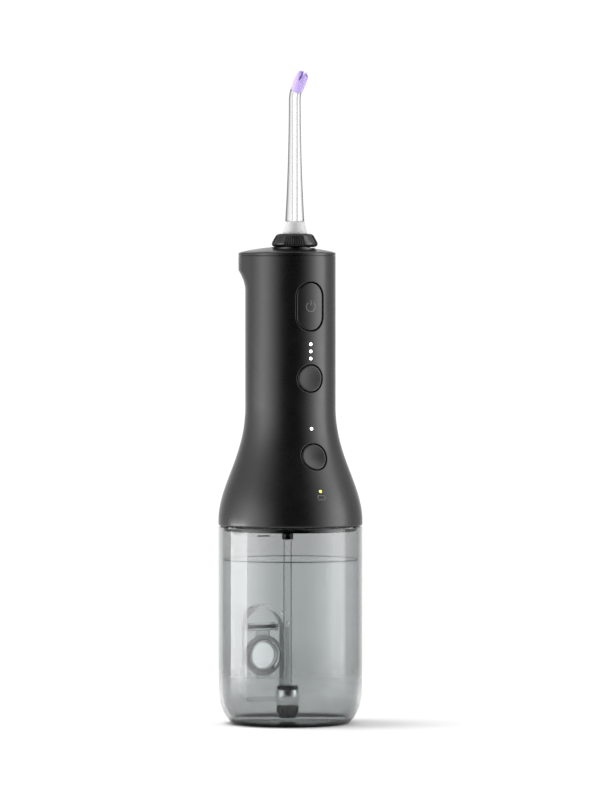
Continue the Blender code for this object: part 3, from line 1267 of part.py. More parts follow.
def build():
    clear_scene()
    clear = clear_plastic()
    black, gloss, rubber = matte_black(), gloss_black(), black_rubber()
    steel, plastic, white = bare_steel(), internal_plastic(), frosted_white()
    reservoir(clear)
    fill_cap(grey_silicone())
    fill_cap_pin(steel)
    handle_shell(black)
    top_cover(black)
    base_plate(black)
    tank_seal(rubber)
    suction_hose(grey_silicone())
    weight(black, steel)
    power_button(black)
    round_button("intensity_button", INTENSITY_Z, black)
    round_button("mode_button", MODE_Z, black)
    light_guides(white)
    switches(black)
    control_board(board_green())
    nozzle_collar(gloss)
    nozzle_base(white)
    nozzle_shaft(clear)
    nozzle_tip(lilac_silicone())
    socket_bottom, socket_outer = nozzle_socket(plastic)
    socket_seal(rubber)
    chassis(plastic, socket_outer)
    motor(steel)
    motor_screws(steel)
    battery_cell(cell_wrap())
    drive_gear(nylon())
    gear_axle(steel)
    motor_pinion(nylon())
    motor_shaft(steel)
    piston_yoke(nylon())
    pump_cylinder(clear)
    valve_block(plastic)
    check_valves(rubber)
    inlet_hose(grey_silicone())
    outlet_hose(grey_silicone(), socket_bottom)
    base_screws(steel)
    charge_socket(steel)
    charge_cover(rubber)


build()
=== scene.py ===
import math

import bmesh
import bpy
from mathutils import Matrix, Vector


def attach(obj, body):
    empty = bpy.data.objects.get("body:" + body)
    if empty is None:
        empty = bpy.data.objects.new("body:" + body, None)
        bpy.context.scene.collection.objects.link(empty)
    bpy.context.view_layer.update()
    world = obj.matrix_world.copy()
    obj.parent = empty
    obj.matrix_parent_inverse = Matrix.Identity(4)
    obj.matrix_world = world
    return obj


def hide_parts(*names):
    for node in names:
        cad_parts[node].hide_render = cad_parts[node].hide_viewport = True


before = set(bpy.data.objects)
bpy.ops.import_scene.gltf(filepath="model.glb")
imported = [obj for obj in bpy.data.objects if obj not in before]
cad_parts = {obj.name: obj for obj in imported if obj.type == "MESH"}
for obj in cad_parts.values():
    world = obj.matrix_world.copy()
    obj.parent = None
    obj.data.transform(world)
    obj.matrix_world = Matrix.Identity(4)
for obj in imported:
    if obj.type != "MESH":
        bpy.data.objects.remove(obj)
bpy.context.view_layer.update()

MM = 0.001

# Camera, as the photograph was taken
AZIMUTH = math.radians(-27)
DISTANCE = 2.5
CAMERA_Z = 0.197
AIM_Z = 0.1505
AIM_SIDE = 7.6 * MM
VIEW_HEIGHT = 361.362 * MM       # what the picture spans at the aim point
SENSOR = 36.0

# Sizes shared with the CAD model
TANK_RADIUS = 33.0 * MM
TANK_HEIGHT = 90.2 * MM
TANK_WALL = 2.0 * MM
TANK_FLOOR = 1.8 * MM
TANK_CORNER = 19.0 * MM
CORNER_START = 14.0 * MM
FOOT_WIDTH = 3.0 * MM
FOOT_RECESS = 0.3 * MM
PORT_DEPTH = 6.0 * MM
PORT_WIDTH = 20.0 * MM
PORT_BOTTOM = 10.0 * MM
PORT_TOP = 51.0 * MM
PORT_CORNER = 3.0 * MM
FILL_HOLE_RADIUS = 7.25 * MM
FILL_HOLE_Z = 29.5 * MM
CAP_RADIUS = 9.5 * MM
CAP_THICKNESS = 2.0 * MM
CAP_HINGE_Y = 29.6 * MM
CAP_HINGE_Z = 42.5 * MM
CAP_PIN_RADIUS = 0.8 * MM
CAP_KNUCKLE_RADIUS = 1.8 * MM
CAP_KNUCKLE_WIDTH = 9.8 * MM
CAP_EAR_WIDTH = 2.0 * MM
GAP = 0.3 * MM
GROOVE = 0.45 * MM
HANDLE_BOTTOM = TANK_HEIGHT + GAP
FLARE_BOTTOM = 92.5 * MM
FLARE_TOP = 145.0 * MM
FLARE_LOWER_PULL = 17.0 * MM
FLARE_UPPER_PULL = 23.0 * MM
NECK_RADIUS = 20.7 * MM
WALL = 2.0 * MM
SHELL_TOP = 214.0 * MM
LIP_OVERHANG = 7.0 * MM
LIP_BOTTOM = 198.0 * MM
LIP_CORNER = 207.4 * MM
LIP_POWER = 1.9
COVER_RIM = 215.5 * MM
COVER_PEAK = 218.3 * MM
SHELL_BORE = 31.0 * MM
BASE_BOTTOM = 88.1 * MM
BASE_TOP = 92.5 * MM
SPIGOT_RADIUS = 30.4 * MM
HOSE_Y = 2.9 * MM
HOSE_RADIUS = 1.8 * MM
HOSE_TOP = 83.7 * MM
HOSE_BOTTOM = 17.5 * MM
SOCKET_BOTTOM = 84.0 * MM
SOCKET_RADIUS = 2.6 * MM
WEIGHT_RADIUS = 5.1 * MM
POWER_Z = 190.8 * MM
POWER_WIDTH = 13.0 * MM
POWER_HEIGHT = 21.8 * MM
INTENSITY_Z = 158.1 * MM
MODE_Z = 122.6 * MM
ROUND_RADIUS = 6.0 * MM
DISH_RADIUS = 5.6 * MM
DISH_DEPTH = 1.0 * MM
BUTTON_THICKNESS = 2.6 * MM
LENS_RADIUS = 0.68 * MM
LAMP_HEIGHTS = (173.7 * MM, 170.45 * MM, 167.2 * MM)
MODE_LAMP_Z = 135.3 * MM
BATTERY_LAMP_Z = 107.1 * MM
CHARGE_Z = 112.0 * MM
CHARGE_WIDTH = 12.4 * MM
CHARGE_HEIGHT = 8.0 * MM
CHARGE_CORNER = 2.0 * MM
CHARGE_COVER = 1.5 * MM
NOZZLE_Y = -4.4 * MM
COLLAR_BOTTOM = 217.9 * MM
COLLAR_TOP = 224.1 * MM
COLLAR_WIDE = 10.6 * MM
SKIRT_RADIUS = 7.2 * MM
COLLAR_BORE = 5.9 * MM
NOZZLE_SEAT = 212.9 * MM
BASE_RADIUS = 5.6 * MM
CONE_TOP = 229.6 * MM
CONE_TOP_RADIUS = 4.5 * MM
NIPPLE_RADIUS = 2.8 * MM
NIPPLE_BOTTOM = 206.9 * MM
NOZZLE_BORE = 1.1 * MM
SHAFT_FOOT_RADIUS = 4.4 * MM
SHAFT_END_RADIUS = 2.7 * MM
SHAFT_STRAIGHT = 55.4 * MM
BEND_ANGLE = math.radians(43)
BEND_RADIUS = 7.0 * MM
SHAFT_LENGTH = SHAFT_STRAIGHT + BEND_RADIUS * BEND_ANGLE
TIP_RADIUS = 2.95 * MM
TIP_LENGTH = 9.7 * MM
WATER_LEVEL = 75.0 * MM

# Sizes that only the looks have
BUTTON_MOUTH = 0.35 * MM
LENS_MOUTH = 0.1 * MM
FLAP_MOUTH = 0.3 * MM
CUT_CLEAR = 1.0 * MM               # a cutter's start above the skin
CUT_DEPTH = 8.0 * MM
LENS_RISE = 0.12 * MM
LENS_LENGTH = 3.2 * MM
STRIP_LIFT = 0.04 * MM
STRIP_DEPTH = 0.2 * MM
SHELL_EDGE = 1.0 * MM
NECK_RING_STEP = 1.1 * MM
LID_JOINT = GAP / 3
LID_EDGE = 0.5 * MM
SEAT_RADIUS = 9.3 * MM
GROOVE_LOW = 88.7 * MM
GROOVE_HIGH = 90.2 * MM
GROOVE_RADIUS = 28.9 * MM
SCREW_ANGLES = [math.radians(degrees) for degrees in (80, 190, 300)]
SCREW_CIRCLE = 20.0 * MM
SCREW_RADIUS = 1.5 * MM
SCREW_HEAD_RADIUS = 2.5 * MM
STRAINER_SLOTS = 12
COLLAR_SIDES = 720
COLLAR_RIBS = 60
RIB_DEPTH = 0.55 * MM
GRIP_HALF_ANGLE = 27               # degrees
LOBE_DEPTH = 0.07

SIDES = 160                        # round the large pieces
SMALL_SIDES = 72


def make_camera():
    back = Vector((math.sin(AZIMUTH), -math.cos(AZIMUTH), 0))
    right = Vector((math.cos(AZIMUTH), math.sin(AZIMUTH), 0))
    aim = Vector((0, 0, AIM_Z)) + right * AIM_SIDE
    data = bpy.data.cameras.new("camera")
    data.lens = DISTANCE * SENSOR / VIEW_HEIGHT
    data.sensor_width = SENSOR
    camera = bpy.data.objects.new("camera", data)
    bpy.context.scene.collection.objects.link(camera)
    place = aim + back * DISTANCE
    place.z = CAMERA_Z
    camera.location = place
    camera.rotation_euler = (aim - place).to_track_quat("-Z", "Y").to_euler()
    data.clip_start, data.clip_end = 0.05, 50
    bpy.context.scene.camera = camera


make_camera()


# Materials

def add(tree, kind, inputs=None, **settings):
    """A node with its settings made; each input is linked if it is a socket, and written if it is a value."""
    node = tree.nodes.new("ShaderNode" + kind)
    for label, value in settings.items():
        setattr(node, label, value)
    for label, value in (inputs or {}).items():
        if isinstance(value, bpy.types.NodeSocket):
            tree.links.new(value, node.inputs[label])
        else:
            node.inputs[label].default_value = value
    return node


def principled(name, colour, roughness, **sockets):
    """A material whose uniform values sit on the shader's own sockets."""
    made = bpy.data.materials.new(name)
    made.use_nodes = True
    shader = made.node_tree.nodes["Principled BSDF"]
    shader.inputs["Base Color"].default_value = (*colour, 1.0)
    shader.inputs["Roughness"].default_value = roughness
    for label, value in sockets.items():
        shader.inputs[label.replace("_", " ")].default_value = value
    return made


def feed(made, label, source):
    """Link a socket to one of the shader's inputs."""
    made.node_tree.links.new(source, made.node_tree.nodes["Principled BSDF"].inputs[label])


def object_noise(made, scale, detail=3.0, stretch=None):
    """Noise in the piece's own coordinates, in lumps per metre."""
    tree = made.node_tree
    source = add(tree, "TexCoord").outputs["Object"]
    if stretch:
        source = add(tree, "Mapping", {"Scale": stretch, "Vector": source}).outputs["Vector"]
    return add(tree, "TexNoise", {"Scale": scale, "Detail": detail, "Vector": source}).outputs["Fac"]


def colour_scale(tree, source, stops):
    """Colours along a 0 to 1 scale; stops are (position, colour) in rising order."""
    ramp = add(tree, "ValToRGB", {"Fac": source})
    points = ramp.color_ramp.elements
    points[0].position, points[1].position = stops[0][0], stops[-1][0]
    for position, _ in stops[1:-1]:
        points.new(position)
    for point, (_, colour) in zip(sorted(points, key=lambda p: p.position), stops):
        point.color = (*colour, 1)
    return ramp.outputs["Color"]


def remap(tree, source, start, end, low=0.0, high=1.0, kind="LINEAR"):
    """Map start..end to low..high."""
    inputs = {"Value": source, "From Min": start, "From Max": end, "To Min": low, "To Max": high}
    return add(tree, "MapRange", inputs, interpolation_type=kind).outputs["Result"]


def split_xyz(tree, source):
    return add(tree, "SeparateXYZ", {"Vector": source}).outputs


def vary_colour(made, fac, low, high):
    feed(made, "Base Color", colour_scale(made.node_tree, fac, ((0.3, low), (0.7, high))))


def vary_roughness(made, fac, low, high):
    feed(made, "Roughness", remap(made.node_tree, fac, 0.3, 0.7, low, high))


def add_bump(made, fac, strength, distance):
    bump = add(made.node_tree, "Bump", {"Strength": strength, "Distance": distance, "Height": fac})
    feed(made, "Normal", bump.outputs["Normal"])


def plastic(name, low, high, smooth, rough, grain, bump, **sockets):
    """Moulded plastic or rubber: mottled colour, uneven gloss and a fine grain."""
    made = principled(name, high, rough, **sockets)
    vary_colour(made, object_noise(made, 55, 4), low, high)
    vary_roughness(made, object_noise(made, 140, 4), smooth, rough)
    add_bump(made, object_noise(made, grain, 2), bump, 0.03 * MM)
    return made


def clear(name, colour, smooth, rough, ior, bump):
    """Clear moulding with slight flow waves in its surface."""
    made = principled(name, colour, rough, IOR=ior, Transmission_Weight=1.0)
    vary_roughness(made, object_noise(made, 60, 3), smooth, rough)
    add_bump(made, object_noise(made, 45, 1, (1, 1, 0.35)), bump, 0.05 * MM)
    return made


def paint_scale(made, source, stops, red):
    """Base colour along a distance; stops are (mm, level), red is the red channel's share of a level."""
    reach = stops[-1][0]
    share = remap(made.node_tree, source, 0.0, reach * MM)
    colours = [(distance / reach, (level * red, level, level)) for distance, level in stops]
    feed(made, "Base Color", colour_scale(made.node_tree, share, colours))


def painted_shade_by_height(made, stops):
    """Smoked plastic whose base colour follows height, with painted shade: darker towards the bottom and
    black at the foot as a painted contact shadow.
    """
    place = add(made.node_tree, "TexCoord").outputs["Object"]
    paint_scale(made, split_xyz(made.node_tree, place)["Z"], stops, 0.98)


def painted_dark_edges(made, middle, edge, start, end):
    """Painted shade: a clear rod or tube's base colour is darkened where its side is seen at a glance."""
    facing = add(made.node_tree, "LayerWeight", {"Blend": 0.5}).outputs["Facing"]
    stops = ((start, (middle,) * 3), (end, (edge, edge, edge * 1.02)))
    feed(made, "Base Color", colour_scale(made.node_tree, facing, stops))


def painted_shade_by_reach(made, stops):
    """Soft plug: pale in its middle, with painted shade in dark rings round its thick ring and its rim."""
    tree = made.node_tree
    shift = add(tree, "Mapping", {"Location": (0, 0, -FILL_HOLE_Z), "Scale": (1, 0, 1),
                                  "Vector": add(tree, "TexCoord").outputs["Object"]})
    reach = add(tree, "VectorMath", {0: shift.outputs["Vector"]}, operation="LENGTH")
    paint_scale(made, reach.outputs["Value"], stops, 0.97)


def metal(name, colour, smooth, rough, stretch):
    """Turned steel: fine lines along the cut and uneven gloss."""
    made = principled(name, colour, rough, Metallic=1.0)
    vary_roughness(made, object_noise(made, 900, 4, stretch), smooth, rough)
    add_bump(made, object_noise(made, 2600, 2, stretch), 0.05, 0.01 * MM)
    return made


LENS_EDGE_LEVEL = 0.35


def lamp_finish(name, colour, strength):
    """A lit clear lens: bright where its dome faces forward, darker towards its rim."""
    made = principled(name, colour, 0.25, Emission_Strength=strength)
    tree = made.node_tree
    forward = remap(tree, split_xyz(tree, add(tree, "TexCoord").outputs["Normal"])["Y"], -0.15, -0.85)
    stops = ((0.0, [c * LENS_EDGE_LEVEL for c in colour]), (1.0, colour))
    feed(made, "Emission Color", colour_scale(tree, forward, stops))
    vary_roughness(made, object_noise(made, 800, 2), 0.2, 0.35)
    return made


MATTE = plastic("matte_black", (0.0038, 0.0038, 0.0040), (0.0050, 0.0049, 0.0049), 0.25, 0.31, 2200, 0.05)
BUTTON = plastic("button_black", (0.0055, 0.0055, 0.0058), (0.0075, 0.0074, 0.0074), 0.27, 0.34, 2200, 0.05)
GLOSS = plastic("gloss_black", (0.004, 0.004, 0.0045), (0.007, 0.007, 0.0075), 0.10, 0.2, 2400, 0.04)
RUBBER = plastic("black_rubber", (0.008, 0.008, 0.008), (0.016, 0.016, 0.016), 0.5, 0.68, 2600, 0.25)
SILICONE = plastic("grey_silicone", (0.44, 0.46, 0.46), (0.54, 0.56, 0.56), 0.3, 0.45, 1800, 0.15,
                   Transmission_Weight=0.55, IOR=1.4)
HOSE = clear("hose_silicone", (0.9, 0.91, 0.91), 0.02, 0.08, 1.06, 0.05)
# Painted shade on the hose's glancing edges.
painted_dark_edges(HOSE, 1.0, 0.01, 0.36, 0.56)
PLUG = clear("plug_silicone", (0.8, 0.8, 0.8), 0.05, 0.12, 1.12, 0.05)
# Painted shade: dark rings in the plug's base colour round its thick ring and its rim.
painted_shade_by_reach(PLUG, ((0, 0.95), (5.9, 0.93), (6.4, 0.25), (7.6, 0.16), (8.0, 0.5), (9.0, 0.3), (9.6, 0.75),
                     (16, 0.8)))
LILAC = plastic("lilac_silicone", (0.42, 0.32, 0.68), (0.49, 0.38, 0.74), 0.4, 0.5, 900, 0.03,
                Specular_IOR_Level=0.4)
FROST = plastic("frosted_white", (0.74, 0.74, 0.745), (0.82, 0.82, 0.825), 0.35, 0.5, 2600, 0.2,
                Transmission_Weight=0.35, IOR=1.45)
INNER = plastic("inner_plastic", (0.5, 0.5, 0.48), (0.62, 0.62, 0.6), 0.4, 0.55, 1500, 0.2)
NYLON = plastic("nylon", (0.68, 0.66, 0.58), (0.78, 0.76, 0.69), 0.4, 0.55, 1500, 0.15)
WRAP = plastic("cell_wrap", (0.04, 0.17, 0.38), (0.06, 0.22, 0.46), 0.3, 0.45, 900, 0.1)
BOARD = plastic("board_green", (0.012, 0.12, 0.05), (0.02, 0.18, 0.08), 0.35, 0.5, 1200, 0.2)
TANK = clear("clear_tank", (0.6, 0.61, 0.61), 0.015, 0.04, 1.38, 0.12)
# Painted shade: the tank's base colour is black at its foot as a contact shadow and dimmer towards the
# bottom.
painted_shade_by_height(TANK, ((0.0, 0.0), (1.4, 0.02), (2.4, 0.48), (12, 0.525), (40, 0.605), (73, 0.615),
                      (77, 0.585), (92.2, 0.585)))
SHAFT = clear("clear_nozzle", (0.93, 0.93, 0.935), 0.0, 0.015, 1.3, 0.02)
# Painted shade on the shaft's glancing edges.
painted_dark_edges(SHAFT, 0.98, 0.06, 0.3, 0.6)
WATER = clear("water", (0.93, 0.955, 0.955), 0.0, 0.01, 1.02, 0.02)
STEEL = metal("bare_steel", (0.8, 0.8, 0.8), 0.05, 0.12, (1, 1, 12))
PRINT = plastic("print_grey", (0.09, 0.09, 0.09), (0.13, 0.13, 0.13), 0.4, 0.5, 2600, 0.1)
MARK = plastic("fill_mark", (0.04, 0.045, 0.045), (0.06, 0.065, 0.065), 0.4, 0.5, 2600, 0.1)
WHITE_LAMP = lamp_finish("lamp_white", (1.0, 1.0, 1.0), 5.0)
GREEN_LAMP = lamp_finish("lamp_green", (0.62, 0.85, 0.08), 1.6)

CAD_FINISHES = {"clear_plastic": TANK, "matte_black": MATTE, "gloss_black": GLOSS, "black_rubber": RUBBER,
                "grey_silicone": SILICONE, "lilac_silicone": LILAC, "frosted_white": FROST,
                "internal_plastic": INNER, "inner_plastic": INNER, "nylon": NYLON, "bare_steel": STEEL,
                "board_green": BOARD, "cell_wrap": WRAP, "clear_tank": TANK, "clear_nozzle": SHAFT}


def refinish_cad_nodes():
    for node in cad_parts.values():
        for i, old in enumerate(node.data.materials):
            name = old.name.split(".")[0] if old else "inner_plastic"
            node.data.materials[i] = CAD_FINISHES.get(name, INNER)


refinish_cad_nodes()


# Mesh helpers

def settle(piece, body, slot=None, *nodes):
    """Put a finished piece on its body, in place of its CAD nodes, which it hides; its slot is not used."""
    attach(piece, body)
    if nodes:
        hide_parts(*nodes)


def to_object(bm, name, finish, body, slot=None, replaces=(), sharp=38):
    bmesh.ops.remove_doubles(bm, verts=bm.verts, dist=1e-6)
    bmesh.ops.dissolve_degenerate(bm, edges=bm.edges, dist=1e-7)
    bmesh.ops.recalc_face_normals(bm, faces=bm.faces)
    if bm.calc_volume(signed=True) < 0:
        bmesh.ops.reverse_faces(bm, faces=bm.faces)
    mesh = bpy.data.meshes.new(name)
    bm.to_mesh(mesh)
    bm.free()
    mesh.shade_smooth()
    mesh.set_sharp_from_angle(angle=math.radians(sharp))
    piece = bpy.data.objects.new(name, mesh)
    bpy.context.scene.collection.objects.link(piece)
    if finish:
        mesh.materials.append(finish)
    if body:
        settle(piece, body, slot, *replaces)
    return piece


def skin(rings, *piece, **more):
    """A piece skinned over a list of rings and closed at both ends."""
    bm = bmesh.new()
    add_rings(bm, rings)
    return to_object(bm, *piece, **more)


def tube(rings, *piece, **more):
    """A piece skinned round a list of rings whose last joins the first."""
    bm = bmesh.new()
    add_rings(bm, rings, closed=True)
    return to_object(bm, *piece, **more)


def spaced(start, end, count):
    """Evenly spaced values from start to end, both kept, in count steps."""
    return [start + (end - start) * k / count for k in range(count + 1)]


def quarter(count):
    """Angles of a quarter turn in count steps."""
    return spaced(0.0, math.pi / 2, count)


def add_rings(bm, rings, closed=False, capped=True):
    """Skin a list of rings of points; closed joins the last ring to the first."""
    loops = [[bm.verts.new(point) for point in ring] for ring in rings]
    pairs = list(zip(loops, loops[1:]))
    if closed:
        pairs.append((loops[-1], loops[0]))
    for lower, upper in pairs:
        count = len(lower)
        for i in range(count):
            j = (i + 1) % count
            bm.faces.new((lower[i], lower[j], upper[j], upper[i]))
    if capped and not closed:
        bm.faces.new(list(reversed(loops[0])))
        bm.faces.new(loops[-1])


def fillet(points, radius, steps=5, closed=True):
    """Round each corner of a (radius, height) outline."""
    made = []
    count = len(points)
    for i, point in enumerate(points):
        if (not closed and i in (0, count - 1)) or point[0] < 1e-6:
            made.append(point)
            continue
        here = Vector(point)
        before, after = Vector(points[i - 1]) - here, Vector(points[(i + 1) % count]) - here
        reach = min(radius, before.length * 0.45, after.length * 0.45)
        start, end = here + before.normalized() * reach, here + after.normalized() * reach
        if before.angle(after) > math.radians(172):
            made.append(point)
            continue
        for k in range(steps + 1):
            t = k / steps
            spot = start * (1 - t) ** 2 + here * 2 * t * (1 - t) + end * t * t
            made.append((spot.x, spot.y))
    return made


def soften(points, radius):
    """Round the corners of an outline that starts and ends on the axis."""
    return fillet(points, radius, 4, closed=False)


def circle(radius, height, sides):
    return [(radius * math.cos(math.tau * i / sides), radius * math.sin(math.tau * i / sides), height)
            for i in range(sides)]


def add_lathe(bm, outline, sides, at=(0, 0), turn=None, move=(0, 0, 0)):
    """Spin a (radius, height) outline; one that starts on the axis closes there."""
    if turn is None:
        turn = Matrix.Identity(3)
    shift = Vector((*at, 0)) + Vector(move)
    rings = [[turn @ Vector(point) + shift for point in circle(max(radius, 0), height, sides)]
             for radius, height in outline]
    add_rings(bm, rings, closed=outline[0][0] >= 1e-9, capped=False)


def lathe(name, outline, finish, body, sides=SIDES, at=(0, 0), slot=None, replaces=()):
    bm = bmesh.new()
    add_lathe(bm, outline, sides, at)
    return to_object(bm, name, finish, body, slot, replaces)


def lathe_tool(outline, sides=SMALL_SIDES, **place):
    """A working solid of revolution, used up by carve."""
    bm = bmesh.new()
    add_lathe(bm, outline, sides, **place)
    return to_object(bm, "tool", None, None)


def box_tool(low, high, round_off):
    """A working box, used up by carve."""
    bm = bmesh.new()
    add_box(bm, low, high, round_off)
    return to_object(bm, "tool", None, None)


def drum(radius, low, high):
    return [(0, low), (radius, low), (radius, high), (0, high)]


def add_box(bm, low, high, round_off=0.0):
    low, high = Vector(low), Vector(high)
    made = bmesh.ops.create_cube(bm, size=1.0)["verts"]
    for vert in made:
        vert.co = Vector([(low[k] + high[k]) / 2 + vert.co[k] * (high[k] - low[k]) for k in range(3)])
    if round_off:
        edges = {edge for vert in made for edge in vert.link_edges}
        bmesh.ops.bevel(bm, geom=list(edges), offset=round_off, segments=3, profile=0.5, affect="EDGES")


def carve(piece, *steps):
    """Apply solid operations to a piece: each step is (operation, tool)."""
    for operation, tool in steps:
        step = piece.modifiers.new("carve", "BOOLEAN")
        step.operation = operation
        step.solver = "EXACT"
        step.object = tool
    bpy.context.view_layer.update()
    depsgraph = bpy.context.evaluated_depsgraph_get()
    mesh = bpy.data.meshes.new_from_object(piece.evaluated_get(depsgraph))
    finish = piece.data.materials[0] if piece.data.materials else None
    piece.modifiers.clear()
    piece.data = mesh
    mesh.materials.clear()
    if finish:
        mesh.materials.append(finish)
    mesh.shade_smooth()
    mesh.set_sharp_from_angle(angle=math.radians(38))
    for _, tool in steps:
        bpy.data.objects.remove(tool, do_unlink=True)
    return piece


# Shape of the handle's skin

def flare_point(t):
    corners = ((TANK_RADIUS, FLARE_BOTTOM), (TANK_RADIUS, FLARE_BOTTOM + FLARE_LOWER_PULL),
               (NECK_RADIUS, FLARE_TOP - FLARE_UPPER_PULL), (NECK_RADIUS, FLARE_TOP))
    weights = ((1 - t) ** 3, 3 * t * (1 - t) ** 2, 3 * t * t * (1 - t), t ** 3)
    return tuple(sum(w * c[i] for w, c in zip(weights, corners)) for i in (0, 1))


def skin_radius(height):
    if height <= FLARE_BOTTOM:
        return TANK_RADIUS
    if height >= FLARE_TOP:
        return NECK_RADIUS
    low, high = 0.0, 1.0
    for _ in range(30):
        middle = (low + high) / 2
        if flare_point(middle)[1] < height:
            low = middle
        else:
            high = middle
    return flare_point(low)[0]


def skin_tilt(height):
    step = 0.5 * MM
    return math.atan2(skin_radius(height - step) - skin_radius(height + step), 2 * step)


def lip_shift(height):
    rise = (height - LIP_BOTTOM) / (LIP_CORNER - LIP_BOTTOM)
    return LIP_OVERHANG * min(max(rise, 0.0), 1.0) ** LIP_POWER


def neck_ring(radius, shift, height, sides=2 * SIDES):
    return [(x, y + (shift if y > 1e-9 else 0.0), height) for x, y, _ in circle(radius, height, sides)]


def patch_frame(height, side):
    """Place, up direction and outward direction on the skin at the front (-1) or back (1)."""
    tilt = skin_tilt(height)
    return (Vector((0, side * skin_radius(height), height)),
            Vector((0, -side * math.sin(tilt), math.cos(tilt))),
            Vector((0, side * math.cos(tilt), math.sin(tilt))))


def patch_point(u, v, depth, height, side=-1):
    """A point on the skin, u across and v up from a place, pushed in by depth."""
    _, up, normal = patch_frame(height, side)
    z = height + v * up.z
    radius = skin_radius(z)
    return Vector((u, side * math.sqrt(max(radius * radius - u * u, 0)), z)) - normal * depth


def oblong(half, rise, count=96):
    """Outline of an upright oblong with round ends, in (u, v)."""
    points = []
    steps = count // 2
    for sign, start in ((1, 0.0), (-1, math.pi)):
        for i in range(steps + 1):
            angle = start + math.pi * i / steps
            points.append((half * math.cos(angle), sign * rise + half * math.sin(angle)))
    return points


def round_rect(half_u, half_v, corner, steps, middle_v=0.0):
    """Outline of a rectangle with round corners, in (u, v)."""
    points = []
    for i, (su, sv) in enumerate(((1, 1), (-1, 1), (-1, -1), (1, -1))):
        for angle in quarter(steps):
            turned = math.pi / 2 * i + angle
            points.append((su * (half_u - corner) + corner * math.cos(turned),
                           middle_v + sv * (half_v - corner) + corner * math.sin(turned)))
    return points


def flap_outline(grow=0.0):
    return round_rect(CHARGE_WIDTH / 2 + grow, CHARGE_HEIGHT / 2 + grow, CHARGE_CORNER + grow, 8)


def add_hole(bm, outline, height, mouth, side=-1):
    """A cutter through the skin whose mouth is rounded; outline(grow) gives its rings."""
    levels = [(mouth, -CUT_CLEAR)]
    levels += [(mouth * (1 - math.sin(angle)), mouth * (1 - math.cos(angle))) for angle in quarter(5)]
    levels.append((0, CUT_DEPTH))
    add_rings(bm, [[patch_point(u, v, depth, height, side) for u, v in outline(grow)]
                   for grow, depth in levels])


def button_insets(half, edge):
    """Distances in from a button's edge, close together where it is rounded."""
    return [edge * (1 - math.cos(angle)) for angle in quarter(6)] + spaced(edge, half, 22)[1:]


def button(name, half, rise, height, body, dish=False, edge=0.5 * MM):
    """A button face that follows the skin, with a rounded edge and, where asked, a finger dish."""
    normal = patch_frame(height, -1)[2]
    rings = []
    for inset in reversed(button_insets(half, edge)):
        ring = []
        for u, v in oblong(max(half - inset, 1e-7), rise):
            fall = 0.0
            if inset < edge:
                fall = edge - math.sqrt(max(edge ** 2 - (edge - inset) ** 2, 0))
            point = patch_point(u, v, 0, height)
            if dish:
                reach = math.hypot(u, v) / DISH_RADIUS
                fall += DISH_DEPTH * max(1 - reach ** 2, 0) ** 1.15
            ring.append(point - normal * fall)
        rings.append(ring)
    rings.append([patch_point(u, v, BUTTON_THICKNESS, height) for u, v in oblong(half, rise)])
    skin(rings, name, BUTTON, body, "matte_black", [body])


# Handle

def shell_rings():
    """Rings up the outside of the shell, over its top edge and down its inside."""
    sizes = [(TANK_RADIUS - 0.7 * SHELL_EDGE * (1 - math.sin(angle)), 0,
              HANDLE_BOTTOM + SHELL_EDGE * (1 - math.cos(angle))) for angle in quarter(6)]
    for t in spaced(0.0, 1.0, 56):
        radius, z = flare_point(t)
        sizes.append((radius, 0, z))
    z = FLARE_TOP
    while z < LIP_BOTTOM - 1.2 * MM:
        z += NECK_RING_STEP
        sizes.append((NECK_RADIUS, 0, z))
    sizes += [(NECK_RADIUS, lip_shift(z), z) for z in spaced(LIP_BOTTOM, LIP_CORNER, 24)]
    sizes += [(NECK_RADIUS, LIP_OVERHANG, z) for z in
              (LIP_CORNER + 0.3 * MM, 209 * MM, 211 * MM, 213 * MM, SHELL_TOP - 0.25 * MM)]
    bore = NECK_RADIUS - WALL
    sizes += [(NECK_RADIUS - 0.07 * MM, LIP_OVERHANG, SHELL_TOP - 0.07 * MM),
              (NECK_RADIUS - 0.25 * MM, LIP_OVERHANG, SHELL_TOP), (bore, LIP_OVERHANG, SHELL_TOP),
              (bore, LIP_OVERHANG, LIP_CORNER + WALL)]
    sizes += [(bore, lip_shift(z), z + WALL) for z in spaced(LIP_CORNER, LIP_BOTTOM, 12)]
    heights = [z / 10 * MM for z in range(1960, 1040, -40)]
    sizes += [(min(skin_radius(z) - WALL, SHELL_BORE), 0, z) for z in heights]
    sizes += [(SHELL_BORE - 0.6 * MM, 0, heights[-1] - 2 * MM), (SHELL_BORE, 0, heights[-1] - 5 * MM),
              (SHELL_BORE, 0, HANDLE_BOTTOM)]
    return [neck_ring(*size) for size in sizes]


def housing():
    """Handle shell, open for the buttons, the lamps and the charging port."""
    shell = tube(shell_rings(), "housing", MATTE, None)
    tool = bmesh.new()
    half, rise = POWER_WIDTH / 2 + GROOVE, (POWER_HEIGHT - POWER_WIDTH) / 2
    add_hole(tool, lambda grow: oblong(half + grow, rise), POWER_Z, BUTTON_MOUTH)
    for z in (INTENSITY_Z, MODE_Z):
        add_hole(tool, lambda grow: oblong(ROUND_RADIUS + GROOVE + grow, 0), z, BUTTON_MOUTH)
    for z in LAMP_HEIGHTS + (MODE_LAMP_Z, BATTERY_LAMP_Z):
        add_hole(tool, lambda grow: oblong(LENS_RADIUS + GAP / 4 + grow, 0, 32), z, LENS_MOUTH)
    add_hole(tool, lambda grow: flap_outline(GAP + grow), CHARGE_Z, FLAP_MOUTH, side=1)
    carve(shell, ("DIFFERENCE", to_object(tool, "tool", None, None)))
    settle(shell, "handle", "matte_black", "handle_shell")


